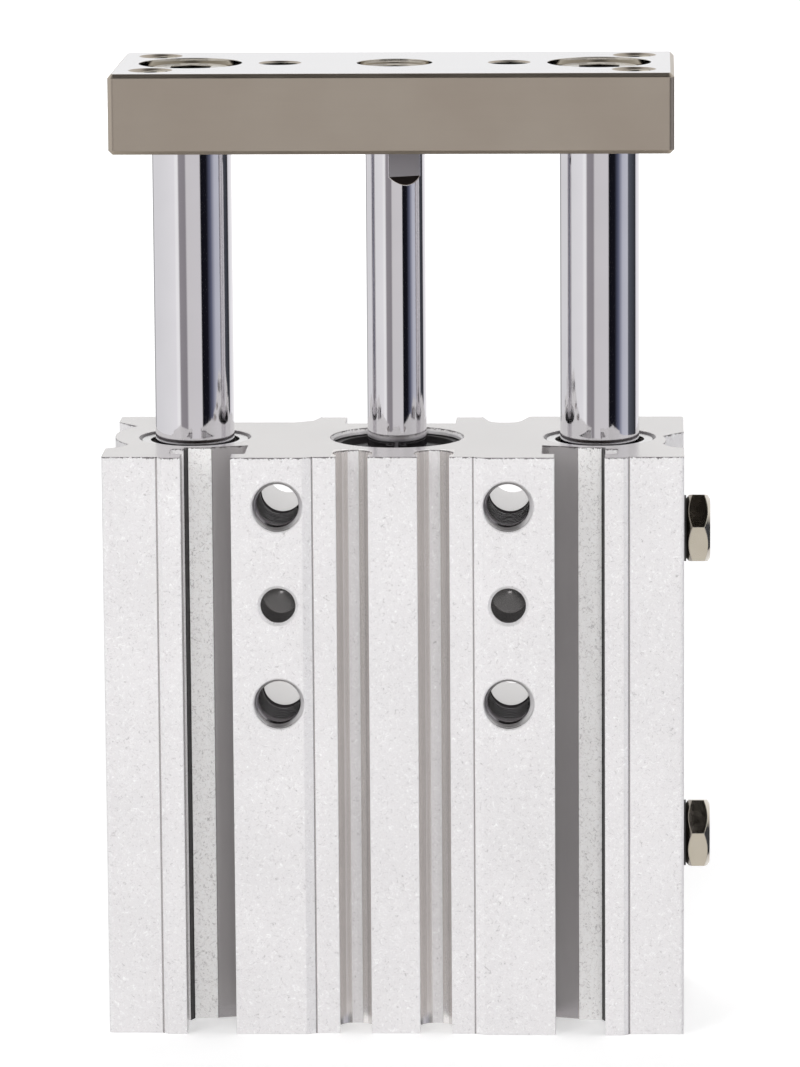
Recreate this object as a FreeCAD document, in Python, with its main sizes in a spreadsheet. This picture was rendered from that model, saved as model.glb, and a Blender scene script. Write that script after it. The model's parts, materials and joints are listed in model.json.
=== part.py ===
"""Compact guided pneumatic cylinder: 12 mm bore, 25 mm stroke, slide bushes, rods run out.

One aluminium block holds the cylinder bore between two guide bores. The piston rod and both
guide rods carry the end plate. Z runs along the rods and X across them, and the block's front
mounting face looks along -Y. The origin is the middle of the block's bottom face.
"""
import FreeCAD, Part
import math
import os
import Sketcher

SIZES = {
    # Block
    "StrokeLength": 25.0,  # travel of the end plate
    "BlockWidth": 58.0,
    "BlockDepth": 26.0,
    "BlockBase": 34.0,  # height of the block without its stroke
    "CornerRadius": 0.4,
    "PadRelief": 0.5,  # how far the rest of the front stands back from the mounting pads
    "PadSpacing": 25.2,  # middle to middle of the two mounting pads
    "PadWidth": 7.2,
    "PadSlope": 0.95,
    # Front and rear fixings
    "FixingSpacing": 23.0,  # across
    "FixingPitch": 20.0,  # up and down
    "FixingInset": 5.0,  # upper pair below the top face
    "FixingHole": 4.3,
    "FixingThread": 5.0,  # tapped from the front
    "FixingThreadDepth": 10.0,
    "FixingMouth": 5.3,
    "FixingCounterbore": 8.0,
    "FixingSeatDepth": 4.5,
    "DowelHole": 3.5,
    "DowelMouth": 4.1,
    "DowelDepth": 6.0,
    # Bottom fixings
    "FootSpacing": 50.0,
    "FootPitch": 18.0,
    "FootHole": 3.4,
    "FootMouth": 4.2,
    "FootDepth": 8.0,
    # T slots beside the mounting pads
    "SlotSpacing": 37.2,
    "SlotOpening": 5.0,
    "SlotCavity": 7.6,
    "SlotLip": 2.3,
    "SlotLipWidth": 1.9,
    "SlotCorner": 0.4,
    "SlotLedge": 2.7,  # from the outer lip to where the slot's floor turns inwards
    "SlotWall": 1.7,  # metal between the slot's floor and the bushes
    "SlotStep": 0.3,
    "SlotFall": 1.0,  # how much deeper the floor's inner edge lies
    "SlotShoulder": 0.8,  # height of the raised edge at the outer end of the floor
    "SlotShoulderSlope": 0.32,
    # Sensor grooves beside the middle rib
    "GrooveSpacing": 8.1,
    "GrooveDiameter": 4.0,
    "GrooveOpening": 3.2,
    "GrooveDepth": 4.3,
    # Rear face
    "RearRelief": 0.5,
    "RearPocketWidth": 11.3,
    "RearPocketDepth": 4.4,
    "RearRibWidth": 2.6,
    "RecessWidth": 13.6,
    "RecessDepth": 3.75,
    "RecessShoulder": 2.7,
    "RecessSlope": 2.9,
    "RecessKnee": 0.8,  # where the near slope steepens, inwards from the rib
    "RecessKneeRise": 1.1,  # and above the recess's floor
    "DipWidth": 4.9,
    "DipDepth": 4.0,
    "DipRadius": 1.8,
    "DipChord": 3.4,  # width of the rounded floor
    # Side flanks
    "LeftFlankTop": 9.5,
    "LeftFlankBottom": 7.2,
    "RightFlankTop": 3.1,
    "RightFlankBottom": 7.0,
    "FlankDepth": 2.1,
    "FlankShoulder": 1.0,  # length of each of the two steps at a hollow's end
    "FlankLand": 0.6,
    "FlankRun": 2.6,  # from a hollow's end to its bulge
    "FlankBulge": 10.2,
    # Cylinder bore
    "CylinderBore": 12.0,
    "CoverSeat": 13.0,
    "MouthChamfer": 0.3,
    "CoverLength": 9.95,
    "CollarLength": 8.05,
    "BumperThickness": 1.0,
    "BumperGap": 0.05,
    "RingThickness": 0.7,
    "RingSlot": 0.8,
    "RingBite": 0.4,  # depth of the slot that holds a retaining ring
    "HeadRingInset": 2.2,
    "RodRingInset": 0.6,
    "RingWidth": 1.1,
    "RingGap": 1.3,
    "RingLug": 2.1,
    "RingLugInset": 0.5,  # how far a lug's middle lies inside the ring
    "RingEye": 0.9,
    # Guide bores
    "GuideSpacing": 41.0,
    "GuideRelief": 9.0,
    "BushDiameter": 10.0,
    "BushLength": 10.0,
    "BushSpacing": 4.9,  # grease space between the two bushes
    "WiperSeat": 10.8,
    "FeltThickness": 1.9,
    "HolderThickness": 1.0,
    "HolderInset": 0.2,
    "HolderBore": 9.0,
    # Ports
    "PortInset": 5.0,  # side ports in front of the rear face
    "UpperPortInset": 10.8,
    "LowerPortHeight": 16.2,
    "PortReach": 17.0,  # from the bore axis to the rear ports
    "PortDepth": 6.0,
    "PortThread": 5.0,
    "PortPilot": 4.2,
    "PortMouth": 5.6,
    "PortDrill": 2.4,
    "RearPortDepth": 5.0,
    "PassageDrill": 1.6,
    "PlugHex": 6.8,
    "PlugTurn": -11.0,  # degrees by which the hexagon stands off the level
    "PlugHead": 2.45,
    "PlugFaceInset": 0.35,  # the head's round end faces inside its flats
    "PlugBevel": 0.6,  # height of the bevels at the corners
    "PlugShank": 4.4,
    "PlugShankChamfer": 0.4,
    "PlugSocket": 2.5,
    "PlugSocketDepth": 3.4,
    "WasherThickness": 0.3,
    "WasherDiameter": 6.8,
    # Rods
    "RodDiameter": 6.0,
    "GuideDiameter": 8.0,
    "GuideLength": 63.5,
    "RodChamfer": 0.5,
    "SpigotDiameter": 4.0,
    "RivetFlare": 0.8,
    "FlatDistance": 2.47,  # from the rod's axis to each spanner flat
    "FlatLength": 2.7,
    "FlatRunout": 0.85,  # length over which a flat slopes out to the rod's side
    "FlatAngle": 24.0,
    # Piston
    "PistonLength": 9.5,
    "PistonRelief": 0.65,
    "ReliefLength": 3.0,
    "MagnetLength": 1.7,
    "MagnetThickness": 1.7,
    "MagnetInset": 0.25,
    "SealLength": 1.9,
    "SealThickness": 1.7,
    "SealGroove": 0.4,  # half width of the hollow between the seal's two lips
    "SealLipChamfer": 0.3,
    "LandLength": 0.8,
    # Seals in the collar and the head cover
    "GasketSection": 0.9,
    "GasketSlot": 1.3,
    "GasketInset": 3.4,
    "LipSealDiameter": 9.2,
    "LipSealLength": 2.2,
    "LipSealHeel": 1.6,  # height of the seal's solid heel
    "LipSealWeb": 0.7,  # radial thickness of the lip
    "BumperRodGap": 0.2,
    "CoverRecess": 8.0,
    "CoverRecessDepth": 5.0,
    # End plate
    "PlateGap": 5.0,  # plate to block with the rods in
    "PlateWidth": 56.0,
    "PlateDepth": 22.0,
    "PlateThickness": 8.0,
    "PlateCorner": 0.6,
    "PlateChamfer": 0.4,
    "PlateFixingSpacing": 48.0,
    "PlateFixingPitch": 14.0,
    "PlateFixingHole": 3.4,
    "PlateFixingMouth": 4.4,
    "PlateDowelHole": 4.0,
    "PlateDowelMouth": 4.3,
    # Screws in the end plate
    "GuideScrewThread": 5.0,
    "GuideScrewHead": 8.5,
    "GuideScrewHeadLength": 5.0,
    "GuideScrewSocket": 4.0,
    "GuideScrewReach": 9.0,
    "GuideCounterbore": 10.4,
    "RodScrewThread": 4.0,
    "RodScrewHead": 7.0,
    "RodScrewHeadLength": 4.0,
    "RodScrewSocket": 3.0,
    "RodScrewReach": 8.0,
    "RodCounterbore": 7.6,
    "HeadInset": 0.4,
    "ScrewClearance": 0.5,  # added to a thread's diameter for its clearance hole
    "SocketDepth": 2.5,
    "HeadChamfer": 0.4,
    "TapExtra": 2.0,  # tapped hole beyond the screw's end
    # Fits, on the radius
    "RunningClearance": 0.03,
    "PistonClearance": 0.06,
    "SeatClearance": 0.02,
}

document = FreeCAD.newDocument("guided_cylinder")
sheet = document.addObject("Spreadsheet::Sheet", "Sizes")
for row, (alias, number) in enumerate(SIZES.items(), start=1):
    sheet.set(f"A{row}", alias)
    sheet.set(f"B{row}", str(number))
    sheet.setAlias(f"B{row}", alias)
document.recompute()


class Length:
    """A size in millimetres, kept with the sheet formula that gives it."""

    def __init__(self, value, formula=None):
        self.value = float(value)
        self.formula = formula or repr(float(value))

    def __add__(self, other):
        return Length(self.value + value_of(other), f"({self.formula} + {formula_of(other)})")

    def __sub__(self, other):
        return Length(self.value - value_of(other), f"({self.formula} - {formula_of(other)})")

    def __mul__(self, factor):
        return Length(self.value * value_of(factor), f"({self.formula} * {formula_of(factor)})")

    def __truediv__(self, factor):
        return Length(self.value / value_of(factor), f"({self.formula} / {formula_of(factor)})")

    def __neg__(self):
        return Length(-self.value, f"(0 - {self.formula})")


def value_of(size):
    """Return a size's number of millimetres."""
    return size.value if isinstance(size, Length) else float(size)


def formula_of(size):
    """Return a size's sheet formula."""
    return size.formula if isinstance(size, Length) else repr(float(size))


def size(alias):
    """Return the named size of the sheet."""
    return Length(SIZES[alias], f"{sheet.Name}.{alias}")


def leg(long_side, side):
    """Return the other leg of a right triangle."""
    number = math.sqrt(long_side.value**2 - side.value**2)
    return Length(number, f"sqrt({long_side.formula} ^ 2 - {side.formula} ^ 2)")


def slant(one, other):
    """Return the long side of a right triangle."""
    number = math.hypot(one.value, other.value)
    return Length(number, f"sqrt({one.formula} ^ 2 + {other.formula} ^ 2)")


def bind(thing, name, amount):
    """Tie a property, or a sketch constraint, to its formula."""
    thing.setExpression(name, formula_of(amount))


# Sketches


def sketch_on(body, name, plane, offset=0.0, shift=0.0):
    """Put a sketch on an origin plane of its own body, offset along the plane's normal.

    shift moves the sketch's own origin along the plane's first axis.
    """
    sketch = body.newObject("Sketcher::SketchObject", f"{body.Label}_{name}")
    faces = [part for part in body.Origin.OriginFeatures if part.Role == plane]
    sketch.AttachmentSupport = [(faces[0], "")]
    sketch.MapMode = "FlatFace"
    sketch.AttachmentOffset = FreeCAD.Placement(
        FreeCAD.Vector(value_of(shift), 0, value_of(offset)), FreeCAD.Rotation()
    )
    bind(sketch, "AttachmentOffset.Base.x", shift)
    bind(sketch, "AttachmentOffset.Base.z", offset)
    return sketch


def spin(sketch, degrees, axis=(0, 0, 1)):
    """Turn a sketch about an axis of its own, its normal unless told otherwise."""
    offset = sketch.AttachmentOffset.Base
    rotation = FreeCAD.Rotation(FreeCAD.Vector(*axis), value_of(degrees))
    sketch.AttachmentOffset = FreeCAD.Placement(offset, rotation)
    bind(sketch, "AttachmentOffset.Rotation.Angle", degrees)


def pin_down(sketch, place, point):
    """Dimension a point of the sketch from its origin, or put it on the axis it lies on."""
    for kind, axis, distance in (("DistanceX", -2, point[0]), ("DistanceY", -1, point[1])):
        if value_of(distance) == 0.0 and not isinstance(distance, Length):
            sketch.addConstraint(Sketcher.Constraint("PointOnObject", *place, axis))
        else:
            index = sketch.addConstraint(
                Sketcher.Constraint(kind, -1, 1, *place, value_of(distance))
            )
            bind(sketch, f"Constraints[{index}]", distance)


def arc_centre(start, end, radius):
    """Return the centre of the short arc from start to end; a positive radius turns left."""
    chord = end - start
    rise = math.sqrt(radius**2 - (chord.Length / 2) ** 2)
    aside = FreeCAD.Vector(-chord.y, chord.x, 0).normalize()
    return start + chord / 2 + aside * math.copysign(rise, radius)


def outline_edge(start, end, radius):
    """Return a line or an arc between two points, and whether it starts at the first one."""
    if radius is None:
        return Part.LineSegment(start, end), True
    centre = arc_centre(start, end, radius)
    circle = Part.Circle(centre, FreeCAD.Vector(0, 0, 1), abs(radius))
    first, last = (start, end) if radius > 0 else (end, start)
    angles = [math.atan2(point.y - centre.y, point.x - centre.x) for point in (first, last)]
    return Part.ArcOfCircle(circle, *angles), radius > 0


def outline(sketch, points):
    """Draw a closed outline. A point's third item is the radius of the arc to the next point."""
    starts, ends = [], []
    for here, there in zip(points, points[1:] + points[:1]):
        start = FreeCAD.Vector(value_of(here[0]), value_of(here[1]), 0)
        end = FreeCAD.Vector(value_of(there[0]), value_of(there[1]), 0)
        radius = value_of(here[2]) if len(here) == 3 else None
        edge, forward = outline_edge(start, end, radius)
        index = sketch.addGeometry(edge)
        starts.append((index, 1 if forward else 2))
        ends.append((index, 2 if forward else 1))
    for number, point in enumerate(points):
        sketch.addConstraint(Sketcher.Constraint("Coincident", *ends[number - 1], *starts[number]))
        pin_down(sketch, starts[number], point)
        if len(point) == 3:
            radius = point[2] if value_of(point[2]) > 0 else -point[2]
            dimension(sketch, "Radius", starts[number][0], radius)


def dimension(sketch, kind, index, amount):
    """Give an arc or a circle its radius or diameter."""
    number = sketch.addConstraint(Sketcher.Constraint(kind, index, value_of(amount)))
    bind(sketch, f"Constraints[{number}]", amount)


def circles(sketch, diameter, centres):
    """Draw equal circles at the given centres."""
    for centre in centres:
        middle = FreeCAD.Vector(value_of(centre[0]), value_of(centre[1]), 0)
        round_edge = Part.Circle(middle, FreeCAD.Vector(0, 0, 1), value_of(diameter) / 2)
        index = sketch.addGeometry(round_edge)
        pin_down(sketch, (index, 3), centre)
        dimension(sketch, "Diameter", index, diameter)


def rectangle(sketch, left, right, bottom, top):
    """Draw an upright rectangle."""
    outline(sketch, [(left, bottom), (right, bottom), (right, top), (left, top)])


def hexagon(sketch, flats):
    """Draw a hexagon about the sketch's origin with its flats across the first axis."""
    edge = flats / 2
    low = edge / math.sqrt(3)
    tip = low * 2
    outline(sketch, [(edge, -low), (edge, low), (0, tip), (-edge, low), (-edge, -low), (0, -tip)])


def mirrored(points):
    """Return an outline's mirror image across the sketch's second axis."""
    return [(-point[0], point[1], *(-bend for bend in point[2:])) for point in points]


# Features


def new_body(name):
    """Start a sub-part as a PartDesign body."""
    body = document.addObject("PartDesign::Body", name)
    body.Label = name
    return body


def pad(body, sketch, amount):
    """Raise a sketch along its normal."""
    feature = body.newObject("PartDesign::Pad", f"{sketch.Name}_pad")
    feature.Profile = sketch
    feature.Length = value_of(amount)
    bind(feature, "Length", amount)
    sketch.Visibility = False
    return feature


def cut_through(body, name, outlines):
    """Cut outlines seen from above right through their body."""
    sketch = sketch_on(body, name, "XY_Plane")
    for points in outlines:
        outline(sketch, points)
    feature = body.newObject("PartDesign::Pocket", f"{sketch.Name}_cut")
    feature.Profile = sketch
    feature.SideType = "Symmetric"
    feature.Type = "ThroughAll"
    return feature


def cut(body, sketch, amount, along_normal=False):
    """Cut a sketch to a depth, against its normal unless told otherwise."""
    feature = body.newObject("PartDesign::Pocket", f"{sketch.Name}_cut")
    feature.Profile = sketch
    feature.Length = value_of(amount)
    feature.Reversed = along_normal
    bind(feature, "Length", amount)
    return feature


def drill(body, sketch, diameter, centres, depth=None, mouth=None, seat=None, inward=False):
    """Drill equal holes at the centres on an empty sketch, through or to a depth.

    mouth is the diameter of a countersunk mouth, and seat the (diameter, depth) of a
    counterbore for a screw's head. inward is for a sketch whose normal points into the metal.
    """
    circles(sketch, diameter, centres)
    document.recompute()
    feature = body.newObject("PartDesign::Hole", f"{sketch.Name}_hole")
    feature.Profile = sketch
    feature.ThreadType = "None"
    feature.Reversed = inward
    feature.Diameter = value_of(diameter)
    bind(feature, "Diameter", diameter)
    feature.DepthType = "ThroughAll" if depth is None else "Dimension"
    if depth is not None:
        feature.Depth = value_of(depth)
        bind(feature, "Depth", depth)
        feature.DrillPoint = "Angled"
        feature.DrillPointAngle = DRILL_POINT
    if mouth is not None:
        feature.HoleCutType = "Countersink"
        feature.HoleCutCountersinkAngle = 90
        feature.HoleCutDiameter = value_of(mouth)
        bind(feature, "HoleCutDiameter", mouth)
    if seat is not None:
        feature.HoleCutType = "Counterbore"
        feature.HoleCutDiameter = value_of(seat[0])
        feature.HoleCutDepth = value_of(seat[1])
        bind(feature, "HoleCutDiameter", seat[0])
        bind(feature, "HoleCutDepth", seat[1])
    return feature


def turn(body, name, half_outline, kind="Revolution", shift=0.0):
    """Revolve a half outline of (radius, height) points once about its own upright axis."""
    sketch = sketch_on(body, name, "XZ_Plane", shift=shift)
    outline(sketch, half_outline)
    feature = body.newObject(f"PartDesign::{kind}", f"{sketch.Name}_{kind.lower()}")
    feature.Profile = sketch
    feature.ReferenceAxis = (sketch, ["V_Axis"])
    feature.Angle = 360
    return feature


def dress(body, kind, amount, wanted):
    """Fillet or chamfer the edges of the body so far for which wanted(edge) is true."""
    document.recompute()
    base = body.Tip
    names = [
        f"Edge{number}" for number, edge in enumerate(base.Shape.Edges, start=1) if wanted(edge)
    ]
    feature = body.newObject(f"PartDesign::{kind}", f"{body.Label}_{kind.lower()}")
    feature.Base = (base, names)
    amount_name = "Radius" if kind == "Fillet" else "Size"
    setattr(feature, amount_name, value_of(amount))
    bind(feature, amount_name, amount)
    return feature


def place(body, x=0.0, y=0.0, z=0.0, rotation=FreeCAD.Rotation()):
    """Put a finished sub-part where it belongs in the assembly."""
    position = FreeCAD.Vector(value_of(x), value_of(y), value_of(z))
    body.Placement = FreeCAD.Placement(position, rotation)
    bind(body, "Placement.Base.x", x)
    bind(body, "Placement.Base.y", y)
    bind(body, "Placement.Base.z", z)
    return body


def at_side(edge):
    """Tell whether an edge is one of the block's four outer corners."""
    return upright(edge) and abs(abs(edge.Vertexes[0].X) - SIDE.value) < TOUCH


def upright(edge):
    """Tell whether an edge is a straight one along Z."""
    if edge.Curve.TypeId != "Part::GeomLine":
        return False
    return abs(abs(edge.Curve.Direction.z) - 1) < TOUCH


# Heights and mates that several pieces share

BLOCK_HEIGHT = size("BlockBase") + size("StrokeLength")
FRONT = -(size("BlockDepth") / 2)
REAR = size("BlockDepth") / 2
SIDE = size("BlockWidth") / 2
GUIDE_AXIS = size("GuideSpacing") / 2
DRILL_POINT = 118  # degrees
OUTSIDE = 2.0  # how far an open cut runs past the face it opens
TOUCH = 0.001  # points nearer than this are in the same place
RING_SIDES = 8  # flats round the section of an O ring

COLLAR_TOP = BLOCK_HEIGHT - size("RodRingInset") - size("RingSlot")
COLLAR_BOTTOM = COLLAR_TOP - size("CollarLength")
COVER_BOTTOM = size("HeadRingInset") + size("RingSlot")
COVER_TOP = COVER_BOTTOM + size("CoverLength")
HOLDER_BOTTOM = BLOCK_HEIGHT - size("HolderInset") - size("HolderThickness")
FELT_BOTTOM = HOLDER_BOTTOM - size("FeltThickness")
BUSH_TOP = FELT_BOTTOM
BUSH_BOTTOM = BUSH_TOP - size("BushLength") * 2 - size("BushSpacing")
PISTON_TOP = COLLAR_BOTTOM - size("BumperThickness") - size("BumperGap")
PLATE_BOTTOM = BLOCK_HEIGHT + size("PlateGap") + size("StrokeLength")
FIXING_HEIGHTS = (
    BLOCK_HEIGHT - size("FixingInset"),
    BLOCK_HEIGHT - size("FixingInset") - size("FixingPitch"),
)
DOWEL_HEIGHT = BLOCK_HEIGHT - size("FixingInset") - size("FixingPitch") / 2
PORT_AXIS = REAR - size("PortInset")
PORT_HEIGHTS = {
    "upper": BLOCK_HEIGHT - size("UpperPortInset"),
    "lower": size("LowerPortHeight"),
}


def block_profile():
    """Return the outline of the extruded block, seen from above."""
    back = FRONT + size("PadRelief")
    pad_inside = size("PadSpacing") / 2 - size("PadWidth") / 2
    lip_outside = size("SlotSpacing") / 2 + size("SlotOpening") / 2 + size("SlotLipWidth")
    right = [
        (pad_inside - size("PadSlope"), back),
        (pad_inside, FRONT),
        (lip_outside, FRONT),
        (lip_outside + size("PadRelief"), back),
        (SIDE, back),
        (SIDE, REAR),
    ]
    return right + [(-x, y) for x, y in reversed(right)]


def t_slot():
    """Return the outline of the right-hand T slot, whose floor bends round the guide bore."""
    middle = size("SlotSpacing") / 2
    mouth_in = middle - size("SlotOpening") / 2
    mouth_out = middle + size("SlotOpening") / 2
    cavity_in = middle - size("SlotCavity") / 2
    cavity_out = middle + size("SlotCavity") / 2
    under_lip = FRONT + size("SlotLip")
    corner = size("SlotCorner")
    floor = -(size("BushDiameter") / 2 + size("SlotWall"))
    shoulder = floor - size("SlotShoulder")
    turning = mouth_out - size("SlotLedge")
    return [
        (mouth_in, FRONT - OUTSIDE),
        (mouth_out, FRONT - OUTSIDE),
        (mouth_out, under_lip),
        (cavity_out - corner, under_lip, corner),
        (cavity_out, under_lip + corner),
        (cavity_out, shoulder - corner, corner),
        (cavity_out - corner, shoulder),
        (mouth_out, shoulder),
        (mouth_out - size("SlotShoulderSlope"), floor),
        (turning, floor),
        (turning, floor + size("SlotStep")),
        (cavity_in, floor + size("SlotStep") + size("SlotFall")),
        (cavity_in, under_lip + corner, corner),
        (cavity_in + corner, under_lip),
        (mouth_in, under_lip),
    ]


def rear_recesses():
    """Return the outlines of the wide recess, the middle pocket and the rounded dip."""
    half_pocket = size("RearPocketWidth") / 2
    rib_outside = half_pocket + size("RearRibWidth")
    face = REAR + OUTSIDE
    pocket = [
        (-half_pocket, face),
        (-half_pocket, REAR - size("RearPocketDepth")),
        (half_pocket, REAR - size("RearPocketDepth")),
        (half_pocket, face),
    ]
    floor = REAR - size("RecessDepth")
    recess_end = -rib_outside - size("RecessWidth")
    recess = [
        (-rib_outside, face),
        (-rib_outside, REAR),
        (-rib_outside - size("RecessKnee"), floor + size("RecessKneeRise")),
        (-rib_outside - size("RecessShoulder"), floor),
        (recess_end + size("RecessSlope"), floor),
        (recess_end, REAR),
        (recess_end, face),
    ]
    dip_middle = rib_outside + size("DipWidth") / 2
    dip_floor = REAR - size("DipDepth")
    dip_side = size("DipChord") / 2
    dip_knee = dip_floor + size("DipRadius") - leg(size("DipRadius"), dip_side)
    dip = [
        (rib_outside, face),
        (rib_outside, REAR),
        (dip_middle - dip_side, dip_knee, size("DipRadius")),
        (dip_middle + dip_side, dip_knee),
        (dip_middle + size("DipWidth") / 2, REAR),
        (dip_middle + size("DipWidth") / 2, face),
    ]
    return pocket, recess, dip


def flank(top, bottom):
    """Return the outline of a hollow along the right-hand side, bulging round the guide bore."""
    floor = SIDE - size("FlankDepth")
    return [
        (SIDE + OUTSIDE, -bottom),
        (SIDE, -bottom),
        (floor + size("FlankLand"), -bottom + size("FlankShoulder")),
        (floor, -bottom + size("FlankRun"), size("FlankBulge")),
        (floor, top - size("FlankRun")),
        (SIDE, top),
        (SIDE + OUTSIDE, top),
    ]


def stepped_bore(steps, chamfer):
    """Return the half outline of a bore through the block, from (radius, top) steps upwards."""
    points = [(0, 0), (steps[0][0] + chamfer, 0), (steps[0][0], chamfer)]
    for number, (radius, top) in enumerate(steps):
        above = steps[number + 1][0] if number + 1 < len(steps) else None
        if above is None:
            points += [(radius, top - chamfer), (radius + chamfer, top), (0, top)]
        else:
            points += [(radius, top), (above, top)]
    return points


def make_block():
    """Build the extruded block with its bores, slots, ports and fixing holes."""
    body = new_body("body")
    profile = sketch_on(body, "profile", "XY_Plane")
    outline(profile, block_profile())
    pad(body, profile, BLOCK_HEIGHT)
    dress(body, "Fillet", size("CornerRadius"), at_side)

    groove = size("GrooveSpacing") / 2
    groove_axis = FRONT + size("PadRelief") + size("GrooveDepth") - size("GrooveDiameter") / 2
    half_mouth = size("GrooveOpening") / 2
    mouth = [
        (groove - half_mouth, FRONT - OUTSIDE),
        (groove + half_mouth, FRONT - OUTSIDE),
        (groove + half_mouth, groove_axis),
        (groove - half_mouth, groove_axis),
    ]
    cut_through(body, "t_slots", [t_slot(), mirrored(t_slot())])
    cut_through(body, "groove_mouths", [mouth, mirrored(mouth)])
    grooves = cut_through(body, "grooves", [])
    axes = [(groove, groove_axis), (-groove, groove_axis)]
    circles(grooves.Profile[0], size("GrooveDiameter"), axes)
    lug_reach = size("RearPocketWidth") / 2 + size("RearRibWidth")
    relief = REAR - size("RearRelief")
    beyond = REAR + OUTSIDE
    lugs = [(-lug_reach, relief), (lug_reach, relief), (lug_reach, beyond), (-lug_reach, beyond)]
    cut_through(body, "rear_relief", [lugs])
    for name, points in zip(("rear_pocket", "rear_recess", "rear_dip"), rear_recesses()):
        cut_through(body, name, [points])
    right = flank(size("RightFlankTop"), size("RightFlankBottom"))
    left = mirrored(flank(size("LeftFlankTop"), size("LeftFlankBottom")))
    cut_through(body, "flanks", [right, left])

    seat = size("CoverSeat") / 2
    slot = seat + size("RingBite")
    central = [
        (seat, size("HeadRingInset")),
        (slot, COVER_BOTTOM),
        (seat, COVER_TOP),
        (size("CylinderBore") / 2, COLLAR_BOTTOM),
        (seat, COLLAR_TOP),
        (slot, COLLAR_TOP + size("RingSlot")),
        (seat, BLOCK_HEIGHT),
    ]
    turn(body, "cylinder_bore", stepped_bore(central, size("MouthChamfer")), "Groove")
    guide = [
        (size("GuideRelief") / 2, BUSH_BOTTOM),
        (size("BushDiameter") / 2, FELT_BOTTOM),
        (size("WiperSeat") / 2, BLOCK_HEIGHT),
    ]
    for side, axis in (("left", -GUIDE_AXIS), ("right", GUIDE_AXIS)):
        turn(body, f"{side}_guide_bore", stepped_bore(guide, size("MouthChamfer")), "Groove", axis)

    across = size("FixingSpacing") / 2
    fixings = [(x, z) for x in (-across, across) for z in FIXING_HEIGHTS]
    through = sketch_on(body, "through_fixings", "XZ_Plane", -FRONT)
    drill(body, through, size("FixingHole"), fixings)
    front = sketch_on(body, "front_fixings", "XZ_Plane", -FRONT)
    depth = size("FixingThreadDepth")
    drill(body, front, size("FixingThread"), fixings, depth, size("FixingMouth"))
    rear = sketch_on(body, "rear_seats", "XZ_Plane", -REAR)
    circles(rear, size("FixingCounterbore"), fixings)
    cut(body, rear, size("FixingSeatDepth"), along_normal=True)
    dowels = sketch_on(body, "front_dowels", "XZ_Plane", -FRONT)
    centres = [(-across, DOWEL_HEIGHT), (across, DOWEL_HEIGHT)]
    drill(body, dowels, size("DowelHole"), centres, size("DowelDepth"), size("DowelMouth"))
    x, y = size("FootSpacing") / 2, size("FootPitch") / 2
    foot = sketch_on(body, "foot_fixings", "XY_Plane")
    corners = [(x, y), (-x, y), (-x, -y), (x, -y)]
    drill(body, foot, size("FootHole"), corners, size("FootDepth"), size("FootMouth"), inward=True)

    side_ports = [(PORT_AXIS, height) for height in PORT_HEIGHTS.values()]
    thread = sketch_on(body, "side_ports", "YZ_Plane", SIDE)
    drill(body, thread, size("PortThread"), side_ports, size("PortDepth"))
    pilot = sketch_on(body, "side_port_pilots", "YZ_Plane", SIDE)
    drill(body, pilot, size("PortDrill"), side_ports, SIDE - size("PortReach"))
    rear_ports = [(size("PortReach"), height) for height in PORT_HEIGHTS.values()]
    back = sketch_on(body, "rear_ports", "XZ_Plane", -REAR)
    depth = size("RearPortDepth")
    drill(body, back, size("PortPilot"), rear_ports, depth, size("PortMouth"), inward=True)
    air_passages(body)
    return place(body)


def air_passages(body):
    """Drill from the cylinder bore, square to its wall, out to where the two ports meet."""
    reach, setback = size("PortReach"), PORT_AXIS
    sketch = sketch_on(body, "air_passages", "YZ_Plane")
    circles(sketch, size("PassageDrill"), [(0, height) for height in PORT_HEIGHTS.values()])
    swing = math.degrees(math.atan2(setback.value, reach.value))
    spin(sketch, Length(swing, f"atan({setback.formula} / {reach.formula})"), axis=(0, 1, 0))
    cut(body, sketch, slant(reach, setback), along_normal=True)


# Round pieces


def ring(name, inner, outer, height, bottom, chamfer=0.0, x=0.0):
    """Turn a plain ring with its corners broken."""
    body = new_body(name)
    if value_of(chamfer) > 0:
        points = [
            (inner, chamfer),
            (inner + chamfer, 0),
            (outer - chamfer, 0),
            (outer, chamfer),
            (outer, height - chamfer),
            (outer - chamfer, height),
            (inner + chamfer, height),
            (inner, height - chamfer),
        ]
    else:
        points = [(inner, 0), (outer, 0), (outer, height), (inner, height)]
    turn(body, "section", points)
    return place(body, x, 0.0, bottom)


def round_ring(name, section, middle_radius, height):
    """Turn an O ring about the bore's axis; its eight-sided section stands in for a round one."""
    body = new_body(name)
    turns = [math.pi * (2 * side + 1) / RING_SIDES for side in range(RING_SIDES)]
    half = section / 2
    turn(body, "section", [(middle_radius + half * math.cos(a), half * math.sin(a)) for a in turns])
    return place(body, 0.0, 0.0, height)


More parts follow.
